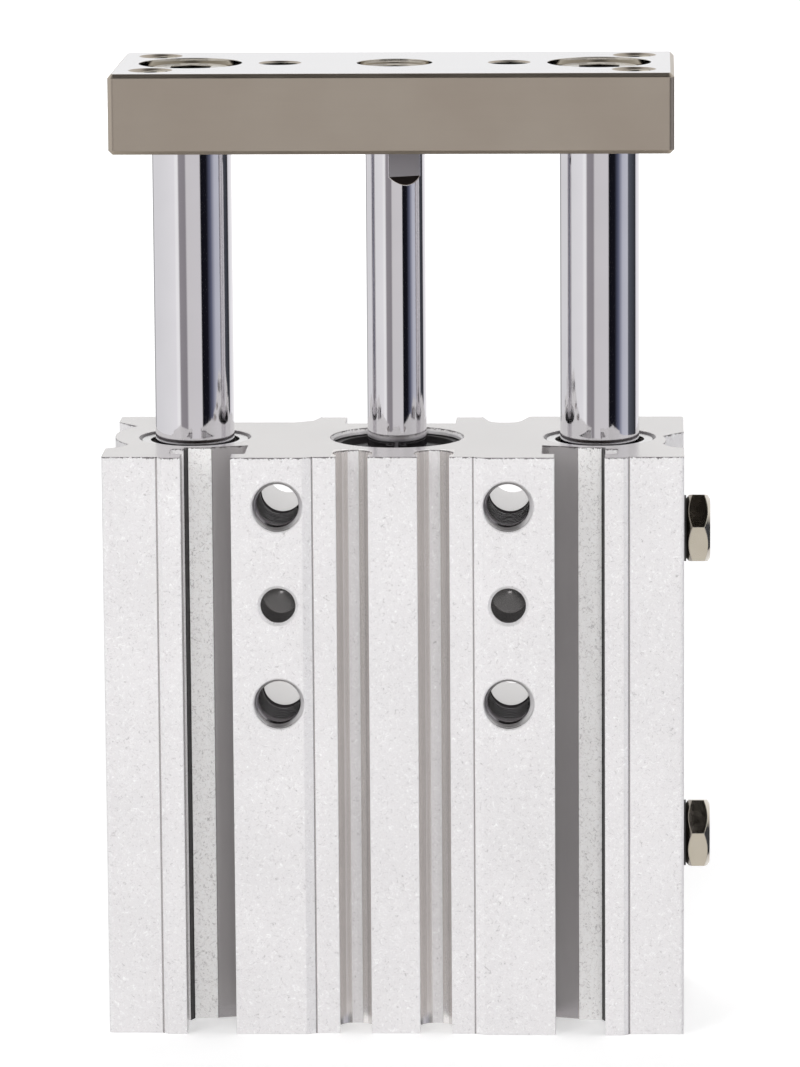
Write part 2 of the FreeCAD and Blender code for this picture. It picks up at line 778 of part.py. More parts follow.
def retaining_ring(name, bottom, facing=0.0):
    """Build an internal retaining ring: an open ring with two lugs, each with an eye."""
    body = new_body(name)
    outer = size("CoverSeat") / 2 + size("RingBite") - size("SeatClearance")
    inner = outer - size("RingWidth")
    disc = sketch_on(body, "disc", "XY_Plane")
    circles(disc, outer * 2, [(0, 0)])
    circles(disc, inner * 2, [(0, 0)])
    pad(body, disc, size("RingThickness"))
    lug_reach = inner - size("RingLugInset")
    lug_side = size("RingGap") / 2 + size("RingLug") / 2
    lugs = sketch_on(body, "lugs", "XY_Plane")
    circles(lugs, size("RingLug"), [(-lug_side, -lug_reach), (lug_side, -lug_reach)])
    pad(body, lugs, size("RingThickness"))
    eyes = sketch_on(body, "eyes", "XY_Plane")
    circles(eyes, size("RingEye"), [(-lug_side, -lug_reach), (lug_side, -lug_reach)])
    cut(body, eyes, size("RingThickness"), along_normal=True)
    half_gap = size("RingGap") / 2
    near = -inner / 2
    far = -outer - OUTSIDE
    gap = [(-half_gap, near), (half_gap, near), (half_gap, far), (-half_gap, far)]
    cut_through(body, "gap", [gap])
    turned = FreeCAD.Rotation(FreeCAD.Vector(0, 0, 1), facing)
    return place(body, 0.0, 0.0, bottom, turned)


def sealed_plug(body, bore, length, extra):
    """Turn a plug that fills the cover seat, with an O ring slot; extra ends its inner side."""
    outer = size("CoverSeat") / 2 - size("SeatClearance")
    chamfer = size("MouthChamfer")
    slot = size("CoverSeat") / 2 - size("GasketSection")
    low = size("GasketInset")
    high = low + size("GasketSlot")
    points = [
        (bore, 0),
        (outer - chamfer, 0),
        (outer, chamfer),
        (outer, low),
        (slot, low),
        (slot, high),
        (outer, high),
        (outer, length),
    ]
    turn(body, "section", points + extra)


def make_rod_end():
    """Build the collar that guides the piston rod, with its seals, bumper and ring."""
    collar = new_body("rod_collar")
    bore = size("RodDiameter") / 2 + size("RunningClearance")
    pocket = size("LipSealDiameter") / 2
    length = size("CollarLength")
    seal_floor = length - size("LipSealLength")
    sealed_plug(collar, bore, length, [(pocket, length), (pocket, seal_floor), (bore, seal_floor)])
    place(collar, 0.0, 0.0, COLLAR_BOTTOM)
    gasket = size("CoverSeat") / 2 - size("GasketSection") / 2
    height = COLLAR_BOTTOM + size("GasketInset") + size("GasketSlot") / 2
    round_ring("collar_gasket", size("GasketSection") - size("SeatClearance"), gasket, height)
    seal = new_body("rod_seal")
    tip = size("LipSealLength")
    heel = size("LipSealHeel")
    web = size("LipSealWeb")
    outer = pocket - size("SeatClearance")
    edge = bore + web
    section = [(edge, 0), (outer, 0), (outer, heel), (edge, heel), (bore, tip), (bore, heel - web / 2)]
    turn(seal, "section", section)
    place(seal, 0.0, 0.0, COLLAR_BOTTOM + seal_floor)
    bumper_outer = size("CylinderBore") / 2 - size("PistonRelief")
    thickness = size("BumperThickness")
    inner = bore + size("BumperRodGap")
    ring("rod_bumper", inner, bumper_outer, thickness, COLLAR_BOTTOM - thickness)
    retaining_ring("collar_retaining_ring", COLLAR_TOP)


def make_head_end():
    """Build the cover that closes the bore's lower end, with its O ring, bumper and ring."""
    cover = new_body("head_cover")
    length = size("CoverLength")
    recess = size("CoverRecess") / 2
    depth = size("CoverRecessDepth")
    sealed_plug(cover, recess, length, [(0, length), (0, depth), (recess, depth)])
    place(cover, 0.0, 0.0, COVER_BOTTOM)
    gasket = size("CoverSeat") / 2 - size("GasketSection") / 2
    height = COVER_BOTTOM + size("GasketInset") + size("GasketSlot") / 2
    round_ring("head_gasket", size("GasketSection") - size("SeatClearance"), gasket, height)
    bumper_outer = size("CylinderBore") / 2 - size("PistonRelief")
    ring("head_bumper", size("SpigotDiameter") / 2, bumper_outer, size("BumperThickness"), COVER_TOP)
    retaining_ring("head_retaining_ring", size("HeadRingInset"))


def make_guides():
    """Build the bushes, felts and holders of both guide bores."""
    rod = size("GuideDiameter") / 2 + size("RunningClearance")
    bush = size("BushDiameter") / 2 - size("SeatClearance")
    wiper = size("WiperSeat") / 2 - size("SeatClearance")
    length = size("BushLength")
    levels = {"lower": BUSH_BOTTOM, "upper": BUSH_TOP - length}
    for side, axis in (("left", -GUIDE_AXIS), ("right", GUIDE_AXIS)):
        for level, bottom in levels.items():
            ring(f"{side}_{level}_bush", rod, bush, length, bottom, size("MouthChamfer"), axis)
        ring(f"{side}_felt_wiper", rod, wiper, size("FeltThickness"), FELT_BOTTOM, 0.0, axis)
        holder = size("HolderBore") / 2
        ring(f"{side}_wiper_holder", holder, wiper, size("HolderThickness"), HOLDER_BOTTOM, 0.0, axis)


def make_port_plugs():
    """Build the hexagon plugs and sealing washers that close the two side ports."""
    sideways = FreeCAD.Rotation(FreeCAD.Vector(0, 1, 0), 90)
    hole = size("PortThread") / 2
    washer = size("WasherThickness")
    for level, height in PORT_HEIGHTS.items():
        gasket = ring(f"{level}_plug_washer", hole, size("WasherDiameter") / 2, washer, 0.0)
        place(gasket, SIDE, PORT_AXIS, height, sideways)
        plug = make_plug(f"{level}_port_plug")
        place(plug, SIDE + washer, PORT_AXIS, height, sideways)


def make_plug(name):
    """Build a plug with a bevelled hexagon head, a shank and a hexagon socket."""
    plug = new_body(name)
    head = size("PlugHead")
    flats = sketch_on(plug, "flats", "XY_Plane")
    spin(flats, size("PlugTurn"))
    hexagon(flats, size("PlugHex"))
    pad(plug, flats, head)
    for end, level, inward in (("outer", head, -1), ("inner", head * 0, 1)):
        turn(plug, f"{end}_bevel", bevel_outline(level, inward), "Groove")
    shank = size("PortThread") / 2 - size("RunningClearance")
    chamfer = size("PlugShankChamfer")
    tip = -size("PlugShank")
    middle = head / 2
    half = [(0, tip), (shank - chamfer, tip), (shank, tip + chamfer), (shank, middle), (0, middle)]
    turn(plug, "shank", half)
    socket = sketch_on(plug, "socket", "XY_Plane", head)
    spin(socket, size("PlugTurn"))
    hexagon(socket, size("PlugSocket"))
    cut(plug, socket, size("PlugSocketDepth"))
    return plug


def bevel_outline(level, inward):
    """Return the half outline that bevels a plug's corners at one end of its head.

    level is the height of that end, and inward 1 or -1, the way from it into the head.
    """
    face = size("PlugHex") / 2 - size("PlugFaceInset")
    corner = size("PlugHex") / math.sqrt(3)
    beyond = corner * 2 - face
    return [
        (face, level),
        (beyond, level + size("PlugBevel") * (2 * inward)),
        (beyond, level - size("PlugHead") * inward),
        (face, level - size("PlugHead") * inward),
    ]


# Moving pieces


def make_piston():
    """Build the piston, which is riveted on the rod's spigot, with its seal and magnet."""
    piston = new_body("piston")
    land = size("CylinderBore") / 2 - size("PistonClearance")
    waist = size("CylinderBore") / 2 - size("PistonRelief")
    bore = size("SpigotDiameter") / 2 + size("SeatClearance")
    flare = size("RivetFlare")
    length = size("PistonLength")
    magnet_low = size("ReliefLength") + size("LandLength")
    magnet_high = magnet_low + size("MagnetLength")
    seal_low = magnet_high + size("LandLength")
    seal_high = seal_low + size("SealLength")
    magnet_floor = land - size("MagnetThickness")
    seal_floor = land - size("SealThickness")
    points = [
        (bore + flare, 0),
        (waist, 0),
        (waist, size("ReliefLength")),
        (land, size("ReliefLength")),
        (land, magnet_low),
        (magnet_floor, magnet_low),
        (magnet_floor, magnet_high),
        (land, magnet_high),
        (land, seal_low),
        (seal_floor, seal_low),
        (seal_floor, seal_high),
        (land, seal_high),
        (land, length - size("RodChamfer")),
        (waist, length),
        (bore, length),
        (bore, flare),
    ]
    turn(piston, "section", points)
    bottom = PISTON_TOP - length
    place(piston, 0.0, 0.0, bottom)
    gap = size("SeatClearance")
    magnet_outer = land - size("MagnetInset")
    magnet_length = size("MagnetLength") - gap * 2
    ring("piston_magnet", magnet_floor + gap, magnet_outer, magnet_length, bottom + magnet_low + gap)
    seal = new_body("piston_seal")
    lip = size("SealLength") - gap * 2
    inner = seal_floor + gap
    outer = size("CylinderBore") / 2 - gap
    chamfer = size("SealLipChamfer")
    middle = lip / 2
    hollow = size("SealGroove")
    lips = [
        (inner, 0),
        (land, 0),
        (outer, chamfer),
        (outer, middle - hollow),
        (land - gap, middle),
        (outer, middle + hollow),
        (outer, lip - chamfer),
        (land, lip),
        (inner, lip),
    ]
    turn(seal, "section", lips)
    place(seal, 0.0, 0.0, bottom + seal_low + gap)


def rod_outline(radius, length, thread, reach, foot):
    """Return a rod's half outline: a foot, a chamfered top and a tapped hole down from it."""
    chamfer = size("RodChamfer")
    depth = reach + size("TapExtra")
    tip = thread / (2 * math.tan(math.radians(DRILL_POINT / 2)))
    return foot + [
        (radius, length - chamfer),
        (radius - chamfer, length),
        (thread / 2, length),
        (thread / 2, length - depth),
        (0, length - depth - tip),
    ]


def make_rods():
    """Build the piston rod with its spanner flats, and the two guide rods."""
    rod = new_body("piston_rod")
    radius = size("RodDiameter") / 2
    spigot = size("SpigotDiameter") / 2
    length = PLATE_BOTTOM - PISTON_TOP
    flare = size("RivetFlare")
    foot = [
        (0, -size("PistonLength")),
        (spigot + flare, -size("PistonLength")),
        (spigot, -size("PistonLength") + flare),
        (spigot, 0),
        (radius, 0),
    ]
    thread = size("RodScrewThread") + size("SeatClearance") * 2
    turn(rod, "section", rod_outline(radius, length, thread, size("RodScrewReach"), foot))
    near = size("FlatDistance")
    far = radius + OUTSIDE
    low = length - size("RodChamfer") - size("FlatLength")
    runout = low - size("FlatRunout") * (far - near) / (radius - near)
    flat = [(near, length + OUTSIDE), (near, low), (far, runout), (far, length + OUTSIDE)]
    flats = sketch_on(rod, "flats", "YZ_Plane")
    outline(flats, flat)
    outline(flats, mirrored(flat))
    both_ways = cut(rod, flats, radius * 4)
    both_ways.SideType = "Symmetric"
    turned = FreeCAD.Rotation(FreeCAD.Vector(0, 0, 1), SIZES["FlatAngle"])
    place(rod, 0.0, 0.0, PISTON_TOP, turned)
    bind(rod, "Placement.Rotation.Angle", size("FlatAngle"))

    radius = size("GuideDiameter") / 2
    chamfer = size("RodChamfer")
    foot = [(0, 0), (radius - chamfer, 0), (radius, chamfer)]
    thread = size("GuideScrewThread") + size("SeatClearance") * 2
    for side, axis in (("left", -GUIDE_AXIS), ("right", GUIDE_AXIS)):
        guide = new_body(f"{side}_guide_rod")
        points = rod_outline(radius, size("GuideLength"), thread, size("GuideScrewReach"), foot)
        turn(guide, "section", points)
        place(guide, axis, 0.0, PLATE_BOTTOM - size("GuideLength"))


def make_plate():
    """Build the end plate with its tapped fixings, dowel holes and screw seats."""
    body = new_body("end_plate")
    half_width = size("PlateWidth") / 2
    half_depth = size("PlateDepth") / 2
    thickness = size("PlateThickness")
    sketch = sketch_on(body, "blank", "XY_Plane")
    rectangle(sketch, -half_width, half_width, -half_depth, half_depth)
    pad(body, sketch, thickness)
    dress(body, "Fillet", size("PlateCorner"), upright)
    levels = (0.0, thickness.value)
    dress(body, "Chamfer", size("PlateChamfer"), lambda e: rim_edge(e, levels))
    top = sketch_on(body, "fixings", "XY_Plane", thickness)
    x, y = size("PlateFixingSpacing") / 2, size("PlateFixingPitch") / 2
    corners = [(x, y), (-x, y), (-x, -y), (x, -y)]
    drill(body, top, size("PlateFixingHole"), corners, mouth=size("PlateFixingMouth"))
    dowels = sketch_on(body, "dowels", "XY_Plane", thickness)
    across = size("FixingSpacing") / 2
    pair = [(-across, 0), (across, 0)]
    drill(body, dowels, size("PlateDowelHole"), pair, mouth=size("PlateDowelMouth"))
    seat = (size("GuideCounterbore"), size("GuideScrewHeadLength") + size("HeadInset"))
    screws = sketch_on(body, "guide_screws", "XY_Plane", thickness)
    clearance = size("GuideScrewThread") + size("ScrewClearance")
    drill(body, screws, clearance, [(-GUIDE_AXIS, 0), (GUIDE_AXIS, 0)], seat=seat)
    seat = (size("RodCounterbore"), size("RodScrewHeadLength") + size("HeadInset"))
    middle = sketch_on(body, "rod_screw", "XY_Plane", thickness)
    drill(body, middle, size("RodScrewThread") + size("ScrewClearance"), [(0, 0)], seat=seat)
    place(body, 0.0, 0.0, PLATE_BOTTOM)


def rim_edge(edge, levels):
    """Tell whether an edge lies flat in one of the two levels."""
    heights = {round(vertex.Z, 4) for vertex in edge.Vertexes}
    return len(heights) == 1 and any(abs(level - min(heights)) < TOUCH for level in levels)


def socket_screw(name, kind, x):
    """Build a socket head screw, seated in the end plate and screwed into a rod."""
    body = new_body(name)
    head = size(f"{kind}Head") / 2
    head_length = size(f"{kind}HeadLength")
    thread = size(f"{kind}Thread") / 2
    reach = size(f"{kind}Reach")
    chamfer = size("HeadChamfer")
    under_head = size("PlateThickness") - head_length - size("HeadInset")
    shank = reach + under_head
    points = [
        (0, -shank),
        (thread - chamfer, -shank),
        (thread, -shank + chamfer),
        (thread, 0),
        (head, 0),
        (head, head_length - chamfer),
        (head - chamfer, head_length),
        (0, head_length),
    ]
    turn(body, "section", points)
    socket = sketch_on(body, "socket", "XY_Plane", head_length)
    hexagon(socket, size(f"{kind}Socket"))
    cut(body, socket, size("SocketDepth"))
    place(body, x, 0.0, PLATE_BOTTOM + under_head)


def check(parts):
    """Stop if any feature failed or any finished piece isn't one valid solid."""
    for thing in document.Objects:
        if "Invalid" in thing.State or "Error" in thing.State:
            raise RuntimeError(f"{thing.Label} failed: {thing.State}")
    for part in parts:
        if part.Shape.isNull() or not part.Shape.isValid() or len(part.Shape.Solids) != 1:
            raise RuntimeError(f"{part.Label} is not one valid solid")


make_block()
make_rod_end()
make_head_end()
make_guides()
make_port_plugs()
make_piston()
make_rods()
make_plate()
socket_screw("left_guide_screw", "GuideScrew", -GUIDE_AXIS)
socket_screw("right_guide_screw", "GuideScrew", GUIDE_AXIS)
socket_screw("rod_screw", "RodScrew", 0.0)
document.recompute()

pieces = [thing for thing in document.Objects if thing.isDerivedFrom("PartDesign::Body")]
check(pieces)
os.makedirs("parts", exist_ok=True)
for piece in pieces:
    piece.Shape.exportStep(f"parts/{piece.Label}.step")
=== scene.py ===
"""Looks of a guided pneumatic cylinder: a slotted aluminium block, chromed rods, a plated plate.

Every piece rides on one of the two bodies of the frame: the block, which stands on the floor,
and the carriage, which is everything that moves with the piston rod.
"""

import json
import logging
import math
from dataclasses import dataclass
from enum import Enum

import bmesh
import bpy
from mathutils import Matrix, Vector


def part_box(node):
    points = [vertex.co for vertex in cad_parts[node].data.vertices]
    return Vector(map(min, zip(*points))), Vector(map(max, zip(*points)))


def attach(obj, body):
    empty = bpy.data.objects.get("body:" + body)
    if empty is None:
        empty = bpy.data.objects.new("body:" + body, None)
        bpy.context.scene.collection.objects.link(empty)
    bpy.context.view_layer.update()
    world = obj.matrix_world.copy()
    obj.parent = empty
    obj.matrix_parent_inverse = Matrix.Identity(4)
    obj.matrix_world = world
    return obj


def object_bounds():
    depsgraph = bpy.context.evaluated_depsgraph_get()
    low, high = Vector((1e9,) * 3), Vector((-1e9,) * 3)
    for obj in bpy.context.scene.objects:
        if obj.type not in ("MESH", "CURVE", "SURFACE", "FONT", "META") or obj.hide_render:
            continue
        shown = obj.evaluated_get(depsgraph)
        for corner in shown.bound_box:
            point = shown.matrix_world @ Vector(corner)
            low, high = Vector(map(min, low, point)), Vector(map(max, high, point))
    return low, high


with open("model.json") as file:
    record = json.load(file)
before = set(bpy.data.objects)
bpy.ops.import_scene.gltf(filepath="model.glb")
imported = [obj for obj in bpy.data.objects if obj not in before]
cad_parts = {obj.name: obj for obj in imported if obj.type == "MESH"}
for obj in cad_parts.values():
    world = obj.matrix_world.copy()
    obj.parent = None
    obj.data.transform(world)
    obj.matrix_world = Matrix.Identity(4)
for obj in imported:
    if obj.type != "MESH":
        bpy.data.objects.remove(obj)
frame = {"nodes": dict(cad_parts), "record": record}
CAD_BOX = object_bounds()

Tree, Socket, Material = bpy.types.NodeTree, bpy.types.NodeSocket, bpy.types.Material

LOG = logging.getLogger("guided_cylinder")
MILLIMETRE = 0.001
SLIVER = 0.01 * MILLIMETRE  # keeps a mask clear of the face beside it
LEVEL_FACE = 0.9  # upward part of the normal from which a face counts as level
NOISE_LOW, NOISE_HIGH = 0.3, 0.7  # most of a noise texture lies between these
RING_WAVES = 20  # rings of a wave texture in one unit of its scale
MIX_UNDER, MIX_OVER, MIX_RESULT = 6, 7, 2  # a Mix node's colour sockets


class Body(Enum):
    """The rigid bodies of the frame."""

    BLOCK = "block"
    CARRIAGE = "carriage"


class Facing(Enum):
    """The way out of a hole's mouth, as the turn that takes +Z there."""

    UP = Matrix.Identity(4)
    DOWN = Matrix.Rotation(math.pi, 4, "X")
    FRONT = Matrix.Rotation(math.pi / 2, 4, "X")
    REAR = Matrix.Rotation(-math.pi / 2, 4, "X")


def linear(colour: str) -> tuple[float, float, float, float]:
    """Turn an sRGB hex colour into the linear colour that shaders take.

    Args:
        colour: Six hex digits after a hash sign.

    Returns:
        Linear red, green, blue and an alpha of one.
    """
    channels = [int(colour[start : start + 2], 16) / 255 for start in (1, 3, 5)]
    bent = [c / 12.92 if c <= 0.04045 else ((c + 0.055) / 1.055) ** 2.4 for c in channels]
    return (*bent, 1.0)


def per_metre(size_mm: float) -> float:
    """Return the texture scale at which one feature is that many millimetres wide."""
    return 1.0 / (size_mm * MILLIMETRE)


def add_node(
    tree: Tree, kind: str, settings: dict | None = None, links: dict | None = None
) -> bpy.types.Node:
    """Add a node with its settings and links.

    Args:
        tree: Node tree that gets the node.
        kind: Blender's name of the node type.
        settings: Properties, or values of unlinked inputs, by name or by input number.
        links: Outputs that feed the node, by the name or number of the input.

    Returns:
        The new node.
    """
    node = tree.nodes.new(kind)
    for name, value in (settings or {}).items():
        if isinstance(name, str) and hasattr(node, name):
            setattr(node, name, value)
        else:
            node.inputs[name].default_value = value
    for name, source in (links or {}).items():
        tree.links.new(source, node.inputs[name])
    return node


def add_ramp(tree: Tree, source: Socket, stops: list[tuple[float, str]]) -> Socket:
    """Map a value to colours.

    Args:
        tree: Node tree that gets the ramp.
        source: Output that gives the value, from 0 to 1.
        stops: Place and sRGB hex colour of each stop, in order.

    Returns:
        The ramp's colour output.
    """
    ramp = add_node(tree, "ShaderNodeValToRGB", links={"Fac": source})
    while len(ramp.color_ramp.elements) < len(stops):
        ramp.color_ramp.elements.new(1.0)
    for element, (place, colour) in zip(ramp.color_ramp.elements, stops):
        element.position = place
        element.color = linear(colour)
    return ramp.outputs["Color"]


def start_material(name: str) -> tuple[Material, Tree, bpy.types.Node]:
    """Make an empty node material.

    Args:
        name: The finish's name.

    Returns:
        The material, its node tree and its Principled shader.
    """
    material = bpy.data.materials.new(name)
    material.use_nodes = True
    tree = material.node_tree
    tree.nodes.clear()
    shader = add_node(tree, "ShaderNodeBsdfPrincipled")
    add_node(tree, "ShaderNodeOutputMaterial", links={"Surface": shader.outputs["BSDF"]})
    return material, tree, shader


def object_place(tree: Tree) -> Socket:
    """Return the output that gives a surface point in metres, in the object's own frame."""
    return add_node(tree, "ShaderNodeTexCoord").outputs["Object"]


def round_edges(tree: Tree, radius_mm: float) -> Socket:
    """Return a normal that turns smoothly over the corners, as broken edges do."""
    bevel = add_node(tree, "ShaderNodeBevel", {"samples": 6, "Radius": radius_mm * MILLIMETRE})
    return bevel.outputs["Normal"]


def within(tree: Tree, value: Socket, low: float, high: float) -> Socket:
    """Mask where a value lies in a range.

    Args:
        tree: Node tree that gets the mask.
        value: Output to test.
        low: Lower end of the range.
        high: Upper end of the range.

    Returns:
        One inside the range and zero outside it.
    """
    middle, reach = (low + high) / 2, (high - low) / 2
    settings = {"operation": "COMPARE", 1: middle, 2: reach}
    return add_node(tree, "ShaderNodeMath", settings, {0: value}).outputs["Value"]


def join_masks(tree: Tree, masks: list[Socket], operation: str) -> Socket:
    """Join masks into one.

    Args:
        tree: Node tree that gets the joined mask.
        masks: Outputs that are one inside a place and zero outside it.
        operation: MULTIPLY for where all of them are one, MAXIMUM for where any is.

    Returns:
        The joined mask.
    """
    joined = masks[0]
    for mask in masks[1:]:
        join = add_node(tree, "ShaderNodeMath", {"operation": operation}, {0: joined, 1: mask})
        joined = join.outputs["Value"]
    return joined


def lay_over(
    tree: Tree,
    under: Socket | tuple | str,
    over: Socket | tuple | str,
    cover: Socket | float,
    blend: str = "MIX",
) -> Socket:
    """Lay one colour over another.

    Args:
        tree: Node tree that gets the mix.
        under: Output, linear colour or sRGB hex colour that lies below.
        over: Output, linear colour or sRGB hex colour that lies above.
        cover: How far the upper one covers, from 0 to 1.
        blend: How the two mix.

    Returns:
        The output that gives the mixed colour.
    """
    settings: dict = {"data_type": "RGBA", "blend_type": blend}
    links = {}
    for socket, value in ((0, cover), (MIX_UNDER, under), (MIX_OVER, over)):
        if isinstance(value, Socket):
            links[socket] = value
        else:
            settings[socket] = linear(value) if isinstance(value, str) else value
    return add_node(tree, "ShaderNodeMix", settings, links).outputs[MIX_RESULT]


def up_facing(tree: Tree) -> Socket:
    """Return the upward part of a face's own normal, from -1 to 1."""
    facing = add_node(tree, "ShaderNodeNewGeometry").outputs["True Normal"]
    return add_node(tree, "ShaderNodeSeparateXYZ", links={"Vector": facing}).outputs["Z"]


@dataclass(frozen=True)
class Strip:
    """A place that runs the whole height of the block, on its left and its right alike."""

    colour: str
    across_mm: tuple[float, float]
    depth_mm: tuple[float, float]


@dataclass(frozen=True)
class Bore:
    """A stretch of the front holes of one row, on the block's left and its right alike.

    The rows are -1 for the lower fixings, 0 for the dowel holes and 1 for the upper fixings.
    """

    colour: str
    row: int
    radius_mm: float
    depth_mm: tuple[float, float]


@dataclass(frozen=True)
class BlastedAnodising:
    """Extruded aluminium, glass-bead blasted and clear anodised, then cut to length and drilled.

    The blasting leaves a fine pale silver with random darker pits. Its bright specks are painted
    glints laid in the colour, and painted light makes the flat floors of the T slots palest.
    The beads can't reach the deep corners of the slots and the sides of the grooves, and the sawn
    ends and drilled holes come after them, so those places are bare and smoother, and mirror
    streaks of the room. Painted shade darkens the deep strips of the T slots, the feet of the
    pads' slopes, the drilled holes' walls, the guide rods' mouths and a thin line round the top,
    and painted light and shade run across the sides of the grooves.
    """

    name: str = "blasted_anodised_aluminium"
    colour: str = "#E9E7E8"
    # white specks laid in the colour as painted glints
    painted_glint: str = "#FFFFFF"
    pit: str = "#BFBCBD"
    fleck_stops: tuple[float, ...] = (0.34, 0.43, 0.56, 0.64)
    bare: str = "#D6D3D2"
    # dark line round the top: a real burr, darkened with painted shade
    burr_painted_shade: str = "#6E6A6C"
    # dark colour of the guide rods' mouths, painted shade
    mouth: str = "#4A4648"
    roughness: float = 0.44
    bare_roughness: float = 0.24
    metallic: float = 0.35
    bare_metallic: float = 0.75
    bare_relief: float = 0.05
    grain_mm: float = 0.26
    grain_depth_mm: float = 0.06
    fleck_mm: float = 0.5
    cloud_mm: float = 14.0
    cloud_tone: tuple[float, float] = (0.96, 1.02)
    edge_mm: float = 0.12
    burr_mm: float = 0.12
    mouth_mm: tuple[float, float] = (5.0, 5.65)
    mouth_depth_mm: float = 6.0
    # the T slots' floors get paler colours and specks, as painted light
    floor_pit: str = "#C2BFBF"
    floor_stops: tuple[float, ...] = (0.36, 0.47, 0.55, 0.61)
    slot_floor_painted_light: Strip = Strip("#FAF9F8", (18.38, 20.8), (6.1, 6.42))
    bare_strips_painted_shading: tuple[Strip, ...] = (
        # inner strip, outer step and outer wall of the T slots: bare, with dark colours that are
        # painted shade
        Strip("#C9C6C6", (14.7, 18.42), (6.45, 7.9)),
        Strip("#201E1F", (20.74, 21.14), (5.4, 6.4)),
        Strip("#7B7779", (21.04, 21.16), (0.15, 2.25)),
        # sides of the sensor grooves, from the inner one outwards: bare, darker towards each
        # groove's edges as painted shade and paler towards its middle as painted light
        Strip("#E4E0DE", (2.0, 3.0), (0.75, 5.2)),
        Strip("#FAF7F5", (3.0, 3.55), (0.75, 5.2)),
        Strip("#FAF7F5", (4.6, 5.2), (0.75, 5.2)),
        Strip("#E4E0DE", (5.2, 6.1), (0.75, 5.2)),
        # feet of the mounting pads' slopes, darkened as painted shade in the corner
        Strip("#B5B2B2", (7.93, 8.1), (0.42, 0.58)),
        Strip("#B5B2B2", (23.42, 23.62), (0.42, 0.58)),
    )
    bores_painted_shade: tuple[Bore, ...] = (
        # tapped stretch, darkened as painted shade, then clearance stretch, of the fixings
        Bore("#6A6668", -1, 2.66, (1.4, 10.2)),
        Bore("#6A6668", 1, 2.66, (1.4, 10.2)),
        Bore("#D6D3D2", -1, 2.66, (10.2, 26.0)),
        Bore("#D6D3D2", 1, 2.66, (10.2, 26.0)),
        # wall, darkened as painted shade, then floor, of the dowel holes
        Bore("#4A4748", 0, 1.9, (0.5, 5.5)),
        Bore("#E0DDDC", 0, 1.9, (5.5, 7.5)),
    )

    def material(self) -> Material:
        """Build the finish for the block.

        Returns:
            A material that knows the bare places by where they are and which way they face.
        """
        material, tree, shader = start_material(self.name)
        place = object_place(tree)
        # Specks half a millimetre wide are coarser than the real ones, too fine to show.
        scale = per_metre(self.fleck_mm)
        flecks = add_node(
            tree,
            "ShaderNodeTexNoise",
            {"Scale": scale, "Detail": 5.0, "Roughness": 0.85, "Distortion": 1.6},
            {"Vector": place},
        ).outputs["Fac"]
        base = self.blasted(tree, place, flecks)
        places = self.bare_places(tree, place)
        for mask, colour in places:
            base = lay_over(tree, base, colour, mask)
        bare = join_masks(tree, [mask for mask, _ in places], "MAXIMUM")
        # painted shade along the burr under the top edge
        base = lay_over(tree, base, self.burr_painted_shade, self.burr_line(tree, place, flecks))
        base = lay_over(tree, base, self.clouds(tree, place), 1.0, "MULTIPLY")
        tree.links.new(base, shader.inputs["Base Color"])
        for socket, blasted, cut in (
            ("Roughness", self.roughness, self.bare_roughness),
            ("Metallic", self.metallic, self.bare_metallic),
        ):
            ends = {"To Min": blasted, "To Max": cut}
            value = add_node(tree, "ShaderNodeMapRange", ends, {"Value": bare})
            tree.links.new(value.outputs["Result"], shader.inputs[socket])
        tree.links.new(self.relief(tree, place, bare), shader.inputs["Normal"])
        return material

    def blasted(self, tree: Tree, place: Socket, flecks: Socket) -> Socket:
        """Colour the blasted surface, with painted light that makes the floors of the T slots
        palest.

        Args:
            tree: Node tree that gets the colour.
            place: Output that gives the surface point.
            flecks: Noise of the specks.

        Returns:
            The output that gives the colour.
        """
        # darker random pits and white painted glints
        tones = (self.pit, self.colour, self.colour, self.painted_glint)
        speckled = add_ramp(tree, flecks, list(zip(self.fleck_stops, tones)))
        tones = (self.floor_pit, self.slot_floor_painted_light.colour, self.slot_floor_painted_light.colour, self.painted_glint)
        pale = add_ramp(tree, flecks, list(zip(self.floor_stops, tones)))
        return lay_over(tree, speckled, pale, self.along(tree, place, self.slot_floor_painted_light))

    def clouds(self, tree: Tree, place: Socket) -> Socket:
        """Return a slow drift in tone, as an extrusion has."""
        noise = add_node(
            tree,
            "ShaderNodeTexNoise",
            {"Scale": per_metre(self.cloud_mm), "Detail": 2.0},
            {"Vector": place},
        )
        low, high = self.cloud_tone
        tone = add_node(
            tree,
            "ShaderNodeMapRange",
            {"From Min": NOISE_LOW, "From Max": NOISE_HIGH, "To Min": low, "To Max": high},
            {"Value": noise.outputs["Fac"]},
        )
        return tone.outputs["Result"]

    def relief(self, tree: Tree, place: Socket, bare: Socket) -> Socket:
        """Roughen the surface with the beads' fine grain.

        Args:
            tree: Node tree that gets the relief.
            place: Output that gives the surface point.
            bare: Mask of the bare places, which are almost smooth.

        Returns:
            The output that gives the normal.
        """
        grain = add_node(
            tree,
            "ShaderNodeTexNoise",
            {"Scale": per_metre(self.grain_mm), "Detail": 3.0, "Roughness": 0.7},
            {"Vector": place},
        )
        ends = {"To Min": 1.0, "To Max": self.bare_relief}
        depth = add_node(tree, "ShaderNodeMapRange", ends, {"Value": bare})
        bump = add_node(
            tree,
            "ShaderNodeBump",
            {"Distance": self.grain_depth_mm * MILLIMETRE},
            {
                "Height": grain.outputs["Fac"],
                "Strength": depth.outputs["Result"],
                "Normal": round_edges(tree, self.edge_mm),
            },
        )
        return bump.outputs["Normal"]

